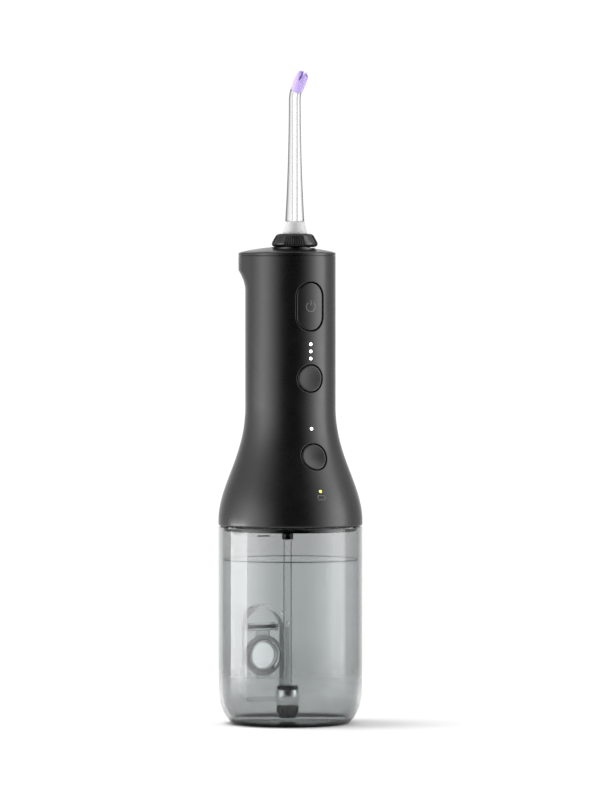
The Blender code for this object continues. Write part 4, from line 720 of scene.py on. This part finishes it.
def top_lid():
    """Domed cover with an inner skirt and a raised seat for the collar."""
    low, lift = SHELL_TOP + LID_JOINT, 0.05 * MM
    skirt = NECK_RADIUS - WALL - GAP
    sizes = [(skirt - MM, low), (skirt - MM, low - 2 * MM), (skirt, low - 2 * MM), (skirt, low),
             (NECK_RADIUS, low)]
    sizes += [(NECK_RADIUS - LID_EDGE * (1 - math.cos(angle)),
               COVER_RIM - LID_EDGE * (1 - math.sin(angle)) + lift * math.sin(angle)) for angle in quarter(5)]
    rings = [neck_ring(radius, LIP_OVERHANG, z) for radius, z in sizes]
    for k in range(1, 40):
        share = 0.975 * (1 - k / 40)
        ring = neck_ring(NECK_RADIUS * share, LIP_OVERHANG * share,
                         COVER_RIM + lift + (COVER_PEAK - COVER_RIM - lift) * (1 - share ** 2))
        rings.append([(x, y + LIP_OVERHANG / 2 * (1 - share), z) for x, y, z in ring])
    lid = skin(rings, "top_lid", MATTE, None)
    carve(lid, *[(operation, lathe_tool(drum(*sizes), at=(0, NOZZLE_Y))) for operation, sizes in (
        ("UNION", (SEAT_RADIUS, low + GAP, COLLAR_BOTTOM - GAP)),
        ("DIFFERENCE", (COLLAR_WIDE + GAP, COLLAR_BOTTOM - GAP, COVER_PEAK + 2 * MM)),
        ("DIFFERENCE", (SKIRT_RADIUS + GAP, SHELL_TOP - 2 * MM, COVER_PEAK + 2 * MM)))])
    settle(lid, "handle", "matte_black", "top_cover")


def controls():
    button("power_face", POWER_WIDTH / 2, (POWER_HEIGHT - POWER_WIDTH) / 2, POWER_Z, "power_button",
           edge=0.7 * MM)
    button("intensity_face", ROUND_RADIUS, 0, INTENSITY_Z, "intensity_button", dish=True)
    button("mode_face", ROUND_RADIUS, 0, MODE_Z, "mode_button", dish=True)
    power_symbol()
    lamps()
    battery_symbol()


def add_strip(bm, points, half, height):
    """A thin raised strip on the skin along a line of (u, v) points."""
    rings = []
    for i, (u, v) in enumerate(points):
        before, after = points[max(i - 1, 0)], points[min(i + 1, len(points) - 1)]
        along = Vector((after[0] - before[0], after[1] - before[1])).normalized()
        across = Vector((-along.y, along.x)) * half
        rings.append([patch_point(u + across.x * side, v + across.y * side, depth, height)
                      for side, depth in ((-1, -STRIP_LIFT), (-0.8, -STRIP_LIFT), (0.8, -STRIP_LIFT),
                                          (1, -STRIP_LIFT), (1, STRIP_DEPTH), (-1, STRIP_DEPTH))])
    add_rings(bm, rings)


def power_symbol():
    """Generic on/off symbol: an open ring and a bar."""
    bm = bmesh.new()
    radius, opening = 2.25 * MM, math.radians(38)
    ring = [(radius * math.sin(angle), radius * math.cos(angle))
            for angle in spaced(opening, math.tau - opening, 60)]
    for line in (ring, [(0, v) for v in spaced(0.5 * MM, 2.9 * MM, 8)]):
        add_strip(bm, line, 0.19 * MM, POWER_Z)
    to_object(bm, "power_symbol", PRINT, "power_button", "matte_black")


def battery_symbol():
    """Generic cell outline under the charge lamp."""
    bm = bmesh.new()
    half_u, half_v, drop = 1.75 * MM, 1.0 * MM, -3.0 * MM
    case = round_rect(half_u, half_v, 0.35 * MM, 4, drop)
    pole = [(half_u + 0.3 * MM, v) for v in spaced(drop - 0.4 * MM, drop + 0.4 * MM, 4)]
    for line in (case + case[:1], pole):
        add_strip(bm, line, 0.14 * MM, BATTERY_LAMP_Z)
    to_object(bm, "battery_symbol", PRINT, "handle", "matte_black")


def add_lens(bm, height):
    """Domed end of a light guide, with its rod running in to the lamp."""
    dome = [(LENS_RADIUS * math.sin(angle), LENS_RISE * math.cos(angle)) for angle in quarter(8)]
    turn = Matrix.Rotation(math.pi / 2 - skin_tilt(height), 3, "X")
    place, _, normal = patch_frame(height, -1)
    add_lathe(bm, dome + [(LENS_RADIUS, -LENS_LENGTH), (0, -LENS_LENGTH)], 32, turn=turn,
              move=place - normal * LENS_RISE)


def lamps():
    for name, heights, finish, node in (
            ("intensity_lamps", LAMP_HEIGHTS, WHITE_LAMP, "intensity_light_guide"),
            ("mode_lamp", (MODE_LAMP_Z,), WHITE_LAMP, "mode_light_guide"),
            ("battery_lamp", (BATTERY_LAMP_Z,), GREEN_LAMP, "battery_light_guide")):
        bm = bmesh.new()
        for z in heights:
            add_lens(bm, z)
        to_object(bm, name, finish, "handle", "frosted_white", [node])


def charge_flap():
    """Rubber flap over the charging port, with a rounded edge and three finger ridges."""
    edge, flat = 0.45 * MM, 0.93
    rings = [[patch_point(u * share, v * share, 0, CHARGE_Z, 1) for u, v in flap_outline()]
             for share in spaced(flat / 20, flat, 19)]
    levels = [(-edge * (1 - math.sin(angle)), edge * (1 - math.cos(angle))) for angle in quarter(5)]
    rings += [[patch_point(u, v, depth, CHARGE_Z, 1) for u, v in flap_outline(grow)]
              for grow, depth in levels + [(0.0, CHARGE_COVER)]]
    bm = bmesh.new()
    add_rings(bm, rings)
    for v in (-2.6 * MM, -2.0 * MM, -1.4 * MM):
        add_back_ridge(bm, [(u, v) for u in spaced(-2.5 * MM, 2.5 * MM, 12)], 0.16 * MM)
    to_object(bm, "charge_flap", RUBBER, "charge_cover", "black_rubber", ["charge_cover"])


def add_back_ridge(bm, points, half):
    """A low ridge across the flap; its feet are sunk in the rubber."""
    section = ((-1, 0.3 * MM), (-0.6, 0.0), (0.6, 0.0), (1, 0.3 * MM))
    add_rings(bm, [[patch_point(u, v + half * side, depth, CHARGE_Z, 1) for side, depth in section]
                   for u, v in points])


# Tank

def corner_arc(inset):
    """Rounded lower corner of the tank, in (radius, height), set in from the outside."""
    radius = TANK_CORNER - inset
    floor = TANK_FLOOR if inset else 0.0
    start = -math.asin(min((CORNER_START - floor) / radius, 1.0))
    return [(TANK_RADIUS - TANK_CORNER + radius * math.cos(angle), CORNER_START + radius * math.sin(angle))
            for angle in spaced(start, 0.0, 28)]


def soft_arch(grow):
    """Window outline with a round top and softened lower corners, in (x, height)."""
    radius = PORT_WIDTH / 2 + grow
    corner = PORT_CORNER + grow
    points = []
    for centre_x, centre_z, turn, start, end, steps in (
            (radius - corner, PORT_BOTTOM - grow + corner, corner, -math.pi / 2, 0, 8),
            (0, PORT_TOP - PORT_WIDTH / 2, radius, 0, math.pi, 40),
            (corner - radius, PORT_BOTTOM - grow + corner, corner, math.pi, 1.5 * math.pi, 8)):
        for k in range(steps + 1):
            angle = start + (end - start) * k / steps
            points.append((centre_x + turn * math.cos(angle), centre_z + turn * math.sin(angle)))
    return points


def tank_body():
    """Clear tank: curved wall, foot ring, and the recessed port with its boss and hinge ears."""
    outside, inside = corner_arc(0), corner_arc(TANK_WALL)
    foot, edge = outside[0][0] - FOOT_WIDTH, 0.3 * MM
    outline = [(0, FOOT_RECESS), (foot - 0.4 * MM, FOOT_RECESS), (foot, 0.05 * MM), (foot + 0.5 * MM, 0.0)]
    outline += outside + [(TANK_RADIUS, TANK_HEIGHT - edge), (TANK_RADIUS - edge, TANK_HEIGHT),
                          (TANK_RADIUS - TANK_WALL + edge, TANK_HEIGHT),
                          (TANK_RADIUS - TANK_WALL, TANK_HEIGHT - edge)]
    tank = lathe("tank_body", outline + inside[::-1] + [(0, TANK_FLOOR)], TANK, None)
    back = TANK_RADIUS - PORT_DEPTH
    boss = prism(soft_arch(TANK_WALL), back - TANK_WALL, TANK_RADIUS, 0.5 * MM)
    mid_floor, trim_top = TANK_FLOOR / 2, TANK_HEIGHT - 5 * MM
    trim = [(0, mid_floor)] + [(r, z) for r, z in corner_arc(TANK_WALL / 2) if z > mid_floor]
    trim += [(TANK_RADIUS - TANK_WALL / 2, trim_top), (0, trim_top)]
    carve(boss, ("INTERSECT", lathe_tool(trim, SIDES)))
    steps = [("UNION", boss), ("DIFFERENCE", prism(soft_arch(0), back, TANK_RADIUS + PORT_DEPTH)),
             ("DIFFERENCE", lathe_tool(drum(FILL_HOLE_RADIUS, -4 * MM, 8 * MM), move=(0, back, FILL_HOLE_Z),
                                       turn=Matrix.Rotation(-math.pi / 2, 3, "X")))]
    ears = bmesh.new()
    near = CAP_KNUCKLE_WIDTH / 2 + GAP
    for side in (-1, 1):
        start, end = sorted((side * near, side * (near + CAP_EAR_WIDTH)))
        add_box(ears, (start, back - TANK_WALL / 2, CAP_HINGE_Z - CAP_KNUCKLE_RADIUS),
                (end, CAP_HINGE_Y + CAP_KNUCKLE_RADIUS, CAP_HINGE_Z + CAP_KNUCKLE_RADIUS), 0.4 * MM)
    bore = drum(CAP_PIN_RADIUS + GAP, GAP - PORT_WIDTH / 2, PORT_WIDTH / 2 - GAP)
    carve(tank, *steps, ("UNION", to_object(ears, "tool", None, None)), ("DIFFERENCE", on_hinge(bore)))
    settle(tank, "tank", "clear_tank", "reservoir")


def prism(outline, near, far, edge=0.0):
    """An (x, height) outline pushed along Y from near to far, its near edge rounded."""
    middle = sum(z for _, z in outline) / len(outline)
    rings = []
    for angle in quarter(4) if edge else [math.pi / 2]:
        shrink = 1 - edge / (PORT_WIDTH / 2) * (1 - math.sin(angle))
        y = near + edge * (1 - math.cos(angle))
        rings.append([(x * shrink, y, middle + (z - middle) * shrink) for x, z in outline])
    rings.append([(x, far, z) for x, z in outline])
    return skin(rings, "tool", None, None)


def on_hinge(outline, sides=32):
    """A working solid spun round the fill cap's hinge line."""
    return lathe_tool(outline, sides, turn=Matrix.Rotation(math.pi / 2, 3, "Y"),
                      move=(0, CAP_HINGE_Y, CAP_HINGE_Z))


def filler_cap():
    """Silicone plug: stepped disc with a raised ring, a lip, a finger tab, an arm and a knuckle."""
    inner = TANK_RADIUS - PORT_DEPTH + GAP
    plug = TANK_WALL - 2 * GAP
    face = -CAP_THICKNESS
    outline = [(0, face + 0.5 * MM), (6.2 * MM, face + 0.5 * MM), (6.7 * MM, face), (7.9 * MM, face),
               (8.3 * MM, face + 0.45 * MM), (CAP_RADIUS - 0.2 * MM, face + 0.6 * MM), (CAP_RADIUS, 0),
               (FILL_HOLE_RADIUS - GAP, 0), (FILL_HOLE_RADIUS - 2.5 * GAP, plug), (5.9 * MM, plug),
               (5.7 * MM, 0.2 * MM), (0, 0.2 * MM)]
    bm = bmesh.new()
    add_lathe(bm, soften(outline, 0.3 * MM), SMALL_SIDES,
              turn=Matrix.Rotation(math.pi / 2, 3, "X"), move=(0, inner, FILL_HOLE_Z))
    cap = to_object(bm, "filler_cap", PLUG, None)
    arm_half, half = CAP_KNUCKLE_WIDTH / 3, CAP_KNUCKLE_WIDTH / 2
    arm = box_tool((-arm_half, inner + 1.5 * GAP, FILL_HOLE_Z + CAP_RADIUS / 2 + 2 * MM),
                   (arm_half, CAP_HINGE_Y - 0.2 * MM, CAP_HINGE_Z - CAP_KNUCKLE_RADIUS / 2), 0.3 * MM)
    tab = box_tool((-CAP_RADIUS / 3, inner + CAP_THICKNESS / 3, FILL_HOLE_Z - CAP_RADIUS - 1.5 * MM),
                   (CAP_RADIUS / 3, inner + CAP_THICKNESS, FILL_HOLE_Z - CAP_RADIUS / 2 - 3 * MM), 0.35 * MM)
    knuckle = on_hinge(soften(drum(CAP_KNUCKLE_RADIUS, -half, half), 0.3 * MM), 48)
    bore = on_hinge(drum(CAP_PIN_RADIUS + GAP / 2, -2 * half, 2 * half))
    carve(cap, ("UNION", arm), ("UNION", tab), ("UNION", knuckle), ("DIFFERENCE", bore))
    settle(cap, "fill_cap", "grey_silicone", "fill_cap")


def cap_pin():
    """Steel pin through the cap's knuckle and both ears."""
    half = CAP_KNUCKLE_WIDTH / 2 + GAP + CAP_EAR_WIDTH
    pin = on_hinge(soften(drum(CAP_PIN_RADIUS, -half, half), 0.2 * MM))
    pin.name = pin.data.name = "cap_pin"
    pin.data.materials.append(STEEL)
    settle(pin, "tank", "bare_steel", "fill_cap_pin")


def water():
    """Water up to its line, a hair clear of the wall, with a raised rim where it meets the wall."""
    clearance = 0.08 * MM
    wall, low = TANK_RADIUS - TANK_WALL - clearance, TANK_FLOOR + clearance
    outline = [(0, low)] + [(r - clearance, max(z, low)) for r, z in corner_arc(TANK_WALL)]
    outline += [(wall, WATER_LEVEL + 0.7 * MM), (wall - 0.25 * MM, WATER_LEVEL + 0.35 * MM),
                (wall - 0.8 * MM, WATER_LEVEL + 0.08 * MM), (wall - 2.0 * MM, WATER_LEVEL), (0, WATER_LEVEL)]
    body = lathe("water", outline, WATER, None)
    boss = prism(soft_arch(TANK_WALL + clearance), TANK_RADIUS - PORT_DEPTH - TANK_WALL - clearance,
                 TANK_RADIUS + MM)
    weight, hose = WEIGHT_RADIUS + 0.1 * MM, HOSE_RADIUS + 0.15 * MM
    core = lathe_tool([(0, 2.1 * MM), (3.8 * MM, 2.1 * MM), (weight, 5.8 * MM), (weight, 17.3 * MM),
                       (hose, 17.4 * MM), (hose, WATER_LEVEL + MM), (0, WATER_LEVEL + MM)], at=(0, HOSE_Y))
    carve(body, ("DIFFERENCE", boss), ("DIFFERENCE", core))
    settle(body, "tank")


def waterline():
    """Painted shade: a thin dark ring along the water's edge against the wall, standing in for its dark look.
    """
    wall = TANK_RADIUS - TANK_WALL - 0.1 * MM
    outline = [(wall - 0.35 * MM, WATER_LEVEL - 0.05 * MM), (wall, WATER_LEVEL - 0.25 * MM),
               (wall, WATER_LEVEL + 0.3 * MM), (wall - 0.2 * MM, WATER_LEVEL + 0.15 * MM)]
    made = principled("water_edge_painted_shade", (0.12, 0.15, 0.15), 0.2, Alpha=0.5)
    vary_roughness(made, object_noise(made, 60), 0.1, 0.3)
    lathe("water_edge_painted_shade", outline, made, "tank")


def fill_mark():
    """Plain fill mark on the back wall: one short line."""
    low, high = 84.0 * MM, 84.7 * MM
    middle, half = math.radians(86.5), math.radians(5.6)
    face = TANK_RADIUS + 0.02 * MM
    section = ((face - 0.1 * MM, low), (face, low), (face, high), (face - 0.1 * MM, high))
    bm = bmesh.new()
    add_rings(bm, [[(math.cos(angle) * r, math.sin(angle) * r, z) for r, z in section]
                   for angle in spaced(middle - half, middle + half, 12)])
    to_object(bm, "fill_mark", MARK, "tank")


# Base plate, seal, hose and weight

def lower_plate():
    """Underside of the handle: sealed spigot, hose socket and three screw holes."""
    top = BASE_TOP + MM
    edge = 0.3 * MM
    outline = [(0, BASE_BOTTOM), (SPIGOT_RADIUS - edge, BASE_BOTTOM), (SPIGOT_RADIUS, BASE_BOTTOM + edge),
               (SPIGOT_RADIUS, GROOVE_LOW), (GROOVE_RADIUS, GROOVE_LOW), (GROOVE_RADIUS, GROOVE_HIGH),
               (SPIGOT_RADIUS, GROOVE_HIGH), (SPIGOT_RADIUS, BASE_TOP), (0, BASE_TOP)]
    plate = lathe("lower_plate", outline, MATTE, None)
    socket = [(0, SOCKET_BOTTOM), (SOCKET_RADIUS, SOCKET_BOTTOM), (SOCKET_RADIUS, BASE_BOTTOM - 0.8 * MM),
              (SOCKET_RADIUS + 1.2 * MM, BASE_BOTTOM + MM), (0, BASE_BOTTOM + MM)]
    steps = [("UNION", lathe_tool(soften(socket, 0.3 * MM), at=(0, HOSE_Y))),
             ("DIFFERENCE", lathe_tool(drum(1.0 * MM, SOCKET_BOTTOM - MM, top), 32, at=(0, HOSE_Y)))]
    seat = BASE_BOTTOM + 2 * MM
    hole = [(0, BASE_BOTTOM - MM), (SCREW_HEAD_RADIUS, BASE_BOTTOM - MM), (SCREW_HEAD_RADIUS, seat),
            (SCREW_RADIUS, seat), (SCREW_RADIUS, top), (0, top)]
    for angle in SCREW_ANGLES:
        at = (SCREW_CIRCLE * math.cos(angle), SCREW_CIRCLE * math.sin(angle))
        steps.append(("DIFFERENCE", lathe_tool(hole, 40, at=at)))
    carve(plate, *steps)
    settle(plate, "handle", "matte_black", "base_plate")


def seal_ring():
    """Rubber ring in the spigot's groove."""
    inner, outer, low, high = 29.2 * MM, 30.7 * MM, 89.0 * MM, 89.9 * MM
    outline = fillet([(inner, low), (outer, low), (outer, high), (inner, high)], 0.35 * MM, 6)
    lathe("seal_ring", outline, RUBBER, "handle", slot="black_rubber", replaces=["tank_seal"])


def suction_line():
    count = 24
    curve = bpy.data.curves.new("suction_line", "CURVE")
    curve.dimensions = "3D"
    curve.bevel_depth = HOSE_RADIUS
    curve.bevel_resolution = 10
    curve.use_fill_caps = True
    spline = curve.splines.new("POLY")
    spline.points.add(count - 1)
    for i, point in enumerate(spline.points):
        point.co = (0, HOSE_Y, HOSE_TOP + (HOSE_BOTTOM - HOSE_TOP) * i / (count - 1), 1)
    hose = bpy.data.objects.new("suction_line", curve)
    bpy.context.scene.collection.objects.link(hose)
    curve.materials.append(HOSE)
    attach(hose, "handle")
    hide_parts("suction_hose")
    weights = weight_pieces()


def weight_pieces():
    """Weighted strainer on the hose's end: slotted foot, steel sleeve and cap."""
    at = (0, HOSE_Y)
    radius, spigot = WEIGHT_RADIUS, 3.6 * MM
    foot = [(0, 2.6 * MM), (2.6 * MM, 2.6 * MM), (3.0 * MM, 2.2 * MM), (radius * 0.72, 2.2 * MM),
            (radius, 5.8 * MM), (radius, 7.6 * MM), (spigot, 7.6 * MM), (spigot, 15.1 * MM), (0, 15.1 * MM)]
    strainer = lathe("strainer_foot", soften(foot, 0.25 * MM), MATTE, None, SMALL_SIDES, at)
    slots = bmesh.new()
    for k in range(STRAINER_SLOTS):
        spin = Matrix.Rotation(math.tau * k / STRAINER_SLOTS, 3, "Z")
        start = len(slots.verts)
        add_box(slots, (3.9 * MM, -0.3 * MM, 2.9 * MM), (5.6 * MM, 0.3 * MM, 5.3 * MM))
        slots.verts.ensure_lookup_table()
        for vert in slots.verts[start:]:
            vert.co = spin @ vert.co + Vector((0, HOSE_Y, 0))
    carve(strainer, ("DIFFERENCE", to_object(slots, "tool", None, None)))
    settle(strainer, "handle", "matte_black", "strainer")
    ring = [(3.9 * MM, 7.9 * MM), (radius, 7.9 * MM), (radius, 15.1 * MM), (3.9 * MM, 15.1 * MM)]
    sleeve = lathe("sleeve", fillet(ring, 0.3 * MM, 5), STEEL, "handle", SMALL_SIDES, at, "bare_steel",
                   ["weight_sleeve"])
    lid = [(0, 15.4 * MM), (radius, 15.4 * MM), (radius - 0.6 * MM, 17.2 * MM), (2.4 * MM, 17.2 * MM),
           (2.2 * MM, 17.0 * MM), (0, 17.0 * MM)]
    cap = lathe("sleeve_cap", soften(lid, 0.25 * MM), MATTE, "handle", SMALL_SIDES, at,
                "matte_black", ["weight_cap"])
    return [strainer, sleeve, cap]


# Nozzle

def grip(angle):
    """1 inside a ribbed zone of the collar, 0 in a smooth one; four zones, one faces the camera."""
    away = (math.degrees(angle) - (270 + math.degrees(AZIMUTH)) + 45) % 90 - 45
    return 1.0 if abs(away) < GRIP_HALF_ANGLE else 0.0


def ramp_up(value, start, length):
    """0 below start, 1 past start + length, straight between them."""
    return min(max((value - start) / length, 0), 1)


def collar_knob():
    """Nozzle collar with four zones of upright ribs."""
    low, wide, top = COLLAR_BOTTOM, COLLAR_WIDE, 7.6 * MM
    outer = fillet([(SKIRT_RADIUS, low), (9.3 * MM, low), (wide - 0.3 * MM, low + 0.7 * MM),
                    (wide, low + 1.5 * MM), (wide - 0.4 * MM, low + 2.6 * MM),
                    (top + MM, COLLAR_TOP - 0.8 * MM), (top, COLLAR_TOP), (COLLAR_BORE, COLLAR_TOP)],
                   0.9 * MM, 6, closed=False)
    outline = [(COLLAR_BORE, NOZZLE_SEAT), (SKIRT_RADIUS, NOZZLE_SEAT)]
    for (r0, z0), (r1, z1) in zip(outer, outer[1:]):
        steps = max(1, int(math.hypot(r1 - r0, z1 - z0) / (0.25 * MM)))
        outline += [(r0 + (r1 - r0) * k / steps, z0 + (z1 - z0) * k / steps) for k in range(steps)]
    outline.append(outer[-1])
    rings = []
    for radius, height in outline:
        share = ramp_up(height, low + 0.3 * MM, 0.6 * MM) * ramp_up(-height, 0.4 * MM - COLLAR_TOP, 0.6 * MM)
        if radius <= SKIRT_RADIUS + 0.2 * MM:
            share = 0.0
        ring = []
        for i in range(COLLAR_SIDES):
            angle = math.tau * i / COLLAR_SIDES
            wave = 0.5 - 0.5 * math.cos(angle * COLLAR_RIBS)
            reach = radius - RIB_DEPTH * share * grip(angle) * wave ** 0.7
            ring.append((reach * math.cos(angle), NOZZLE_Y + reach * math.sin(angle), height))
        rings.append(ring)
    tube(rings, "collar_knob", GLOSS, "collar", "gloss_black", ["nozzle_collar"], sharp=50)


def nozzle_foot():
    """White foot: nipple below, flange in the collar and cone above it."""
    seat = NOZZLE_SEAT + GAP
    outline = [(NOZZLE_BORE, NIPPLE_BOTTOM), (NIPPLE_RADIUS, NIPPLE_BOTTOM), (NIPPLE_RADIUS, seat),
               (BASE_RADIUS, seat), (BASE_RADIUS, COLLAR_TOP - 0.3 * MM),
               (BASE_RADIUS, COLLAR_TOP + 0.6 * MM),
               (CONE_TOP_RADIUS + 0.2 * MM, CONE_TOP - 0.5 * MM), (CONE_TOP_RADIUS - 0.1 * MM, CONE_TOP),
               (NOZZLE_BORE, CONE_TOP)]
    lathe("nozzle_foot", fillet(outline, 0.4 * MM, 4), FROST, "nozzle", SMALL_SIDES, (0, NOZZLE_Y),
          "frosted_white", ["nozzle_base"])


def shaft_radius(share):
    return SHAFT_END_RADIUS + (SHAFT_FOOT_RADIUS - SHAFT_END_RADIUS) * max(1 - share, 0) ** 2.2


def shaft_frame(distance):
    foot = CONE_TOP + GAP / 6
    bend_length = BEND_RADIUS * BEND_ANGLE
    along = min(distance, SHAFT_STRAIGHT)
    angle = min(max(distance - SHAFT_STRAIGHT, 0.0), bend_length) / BEND_RADIUS
    rest = max(distance - SHAFT_STRAIGHT - bend_length, 0.0)
    y = -BEND_RADIUS * (1 - math.cos(angle)) - rest * math.sin(angle)
    z = foot + along + BEND_RADIUS * math.sin(angle) + rest * math.cos(angle)
    return Vector((0, NOZZLE_Y + y, z)), angle


def shaft_ring(distance, radius, sides=64):
    centre, angle = shaft_frame(distance)
    tilt = Matrix.Rotation(angle, 3, "X")
    return [centre + tilt @ Vector((x, y, 0)) for x, y, _ in circle(radius, 0, sides)]


def clear_shaft():
    """Clear tube with a rounded foot flange and a fine bore."""
    stops = spaced(0.0, SHAFT_LENGTH, 90)
    outer = [shaft_ring(0, shaft_radius(0) - 0.2 * MM)]
    outer += [shaft_ring(stop if stop else 0.2 * MM, shaft_radius(stop / SHAFT_LENGTH)) for stop in stops]
    inner = [shaft_ring(stop, NOZZLE_BORE) for stop in reversed(stops)]
    tube(outer + inner, "clear_shaft", SHAFT, "nozzle", "clear_nozzle", ["nozzle_shaft"])


def soft_tip():
    """Four-lobed silicone tip with two crossed slots."""
    foot, angle = shaft_frame(SHAFT_LENGTH + GAP / 6)
    radius, length = TIP_RADIUS, TIP_LENGTH
    outline = fillet([(NOZZLE_BORE, 0), (radius * 0.97, 0), (radius, length * 0.3),
                      (radius * 1.02, length * 0.6), (radius * 0.94, length * 0.9), (radius * 0.72, length),
                      (NOZZLE_BORE, length)], 0.45 * MM, 5)
    turn = Matrix.Rotation(angle, 3, "X")
    rings = []
    for reach, height in outline:
        share = ramp_up(height / length, 0.55, 0.3) if reach > 1.6 * MM else 0.0
        ring = []
        for i in range(96):
            spin = math.tau * i / 96
            lobed = reach * (1 - LOBE_DEPTH * share * (0.5 + 0.5 * math.cos(4 * (spin - math.radians(45)))))
            ring.append(foot + turn @ Vector((lobed * math.cos(spin), lobed * math.sin(spin), height)))
        rings.append(ring)
    tip = tube(rings, "soft_tip", LILAC, None)
    slots = []
    for degrees in (45, 135):
        tool = bmesh.new()
        add_box(tool, (-2 * radius, -0.4 * MM, length - 2.5 * MM), (2 * radius, 0.4 * MM, length + MM))
        spin = Matrix.Rotation(math.radians(degrees), 3, "Z")
        for vert in tool.verts:
            vert.co = foot + turn @ (spin @ vert.co)
        slots.append(("DIFFERENCE", to_object(tool, "tool", None, None)))
    carve(tip, *slots)
    settle(tip, "nozzle", "lilac_silicone", "nozzle_tip")


# Floor and light

FLOOR_RADIUS = 0.55
FLOOR_FADE = (0.10, 0.42)          # radii it fades between
FLOOR_DROP = 0.2 * MM              # keeps the floor clear of the foot


def floor():
    """Pale disc that fades out into the background."""
    bm = bmesh.new()
    bmesh.ops.create_circle(bm, cap_ends=True, radius=FLOOR_RADIUS, segments=128)
    mesh = bpy.data.meshes.new("floor")
    bm.to_mesh(mesh)
    bm.free()
    made = principled("floor", (0.9, 0.9, 0.9), 0.8, Specular_IOR_Level=0.1)
    vary_colour(made, object_noise(made, 3), (0.895,) * 3, (0.905,) * 3)
    tree = made.node_tree
    reach = add(tree, "VectorMath", {0: add(tree, "TexCoord").outputs["Object"]}, operation="LENGTH")
    feed(made, "Alpha", remap(tree, reach.outputs["Value"], *FLOOR_FADE, 1.0, 0.0, "SMOOTHSTEP"))
    mesh.materials.append(made)
    ground = bpy.data.objects.new("floor", mesh)
    bpy.context.scene.collection.objects.link(ground)
    ground.location.z = -FLOOR_DROP


# Light round the object: (degrees from the camera's side, positive to its right; level; level higher up)
STUDIO = ((-180, 1.15, 0.8), (-158, 0.95, 0.6), (-135, 0.6, 0.5), (-116, 0.75, 0.6), (-92, 2.0, 0.9),
          (-75, 3.7, 1.3), (-60, 3.2, 1.1), (-50, 2.4, 0.8), (-36, 1.15, 0.4), (-21, 0.16, 0.1),
          (-6, 0.0, 0.02), (14, 0.0, 0.02), (27, 0.02, 0.03), (40, 0.5, 0.3), (57, 1.7, 1.2),
          (75, 4.3, 2.8), (88, 4.6, 3.0), (97, 4.3, 2.8), (101, 1.2, 1.6), (122, 0.6, 0.9),
          (145, 0.5, 0.6), (162, 0.85, 0.7), (180, 1.15, 0.8))
BRIGHTEST = 5.0
ABOVE = 1.1


def level_ramp(tree, source, column):
    stops = [((row[0] + 180) / 360, (row[column] / BRIGHTEST,) * 3) for row in STUDIO]
    return colour_scale(tree, source, stops)


def blend_up(tree, height, low, high, start, end):
    """Change from one level to another between two heights on the sphere of directions."""
    rise = remap(tree, height, start, end, kind="SMOOTHSTEP")
    return add(tree, "MixRGB", {"Fac": rise, "Color1": low, "Color2": high}).outputs["Color"]


def studio_light():
    """A ring of soft light: a large soft source on each side, dark in front, even above."""
    world = bpy.data.worlds.new("studio")
    bpy.context.scene.world = world
    world.use_nodes = True
    tree = world.node_tree
    tree.nodes.clear()
    ahead = add(tree, "TexCoord").outputs["Generated"]
    turn = add(tree, "VectorRotate", {"Vector": ahead, "Angle": -AZIMUTH}, rotation_type="Z_AXIS")
    axes = split_xyz(tree, turn.outputs["Vector"])
    toward = remap(tree, axes["Y"], -1.0, 1.0, 1.0, -1.0)
    angle = add(tree, "Math", {0: axes["X"], 1: toward}, operation="ARCTAN2")
    share = remap(tree, angle.outputs[0], -math.pi, math.pi)
    level = blend_up(tree, axes["Z"], level_ramp(tree, share, 1), level_ramp(tree, share, 2), 0.12, 0.6)
    level = blend_up(tree, axes["Z"], level, (ABOVE / BRIGHTEST,) * 3 + (1,), 0.8, 0.98)
    glow = add(tree, "Background", {"Color": level, "Strength": BRIGHTEST})
    seen = add(tree, "Background", {"Color": (1, 1, 1, 1), "Strength": 1.05})
    pick = add(tree, "MixShader", {"Fac": add(tree, "LightPath").outputs["Is Camera Ray"],
                                   1: glow.outputs["Background"], 2: seen.outputs["Background"]})
    add(tree, "OutputWorld", {"Surface": pick.outputs["Shader"]})


def lamp(name, size, level, angle, distance, height, aim, glossy):
    """A flat soft lamp of an even level, placed by its angle from the camera's side."""
    data = bpy.data.lights.new(name, "AREA")
    data.shape = "RECTANGLE"
    data.size, data.size_y = size
    data.energy = level * math.pi * size[0] * size[1]
    placed = bpy.data.objects.new(name, data)
    bpy.context.scene.collection.objects.link(placed)
    turned = AZIMUTH + math.radians(angle)
    placed.location = (distance * math.sin(turned), -distance * math.cos(turned), height)
    placed.rotation_euler = (Vector((0, 0, aim)) - placed.location).to_track_quat("-Z", "Y").to_euler()
    placed.visible_camera = False
    placed.visible_glossy = glossy
    placed.visible_transmission = False


def lamps_round():
    """The key lays the shadow to the right; the low strip lights the tank's left side."""
    lamp("key", (0.5, 0.5), 8.0, -105, 0.36, 0.95, 0.05, False)
    lamp("low_strip", (0.4, 0.122), 8.0, -90, 0.6, 0.001, 0.001, True)


suction_line()
housing()
top_lid()
controls()
charge_flap()
tank_body()
filler_cap()
cap_pin()
water()
waterline()
fill_mark()
lower_plate()
seal_ring()
collar_knob()
nozzle_foot()
clear_shaft()
soft_tip()
floor()
studio_light()
lamps_round()
bpy.context.scene.view_settings.view_transform = "Standard"
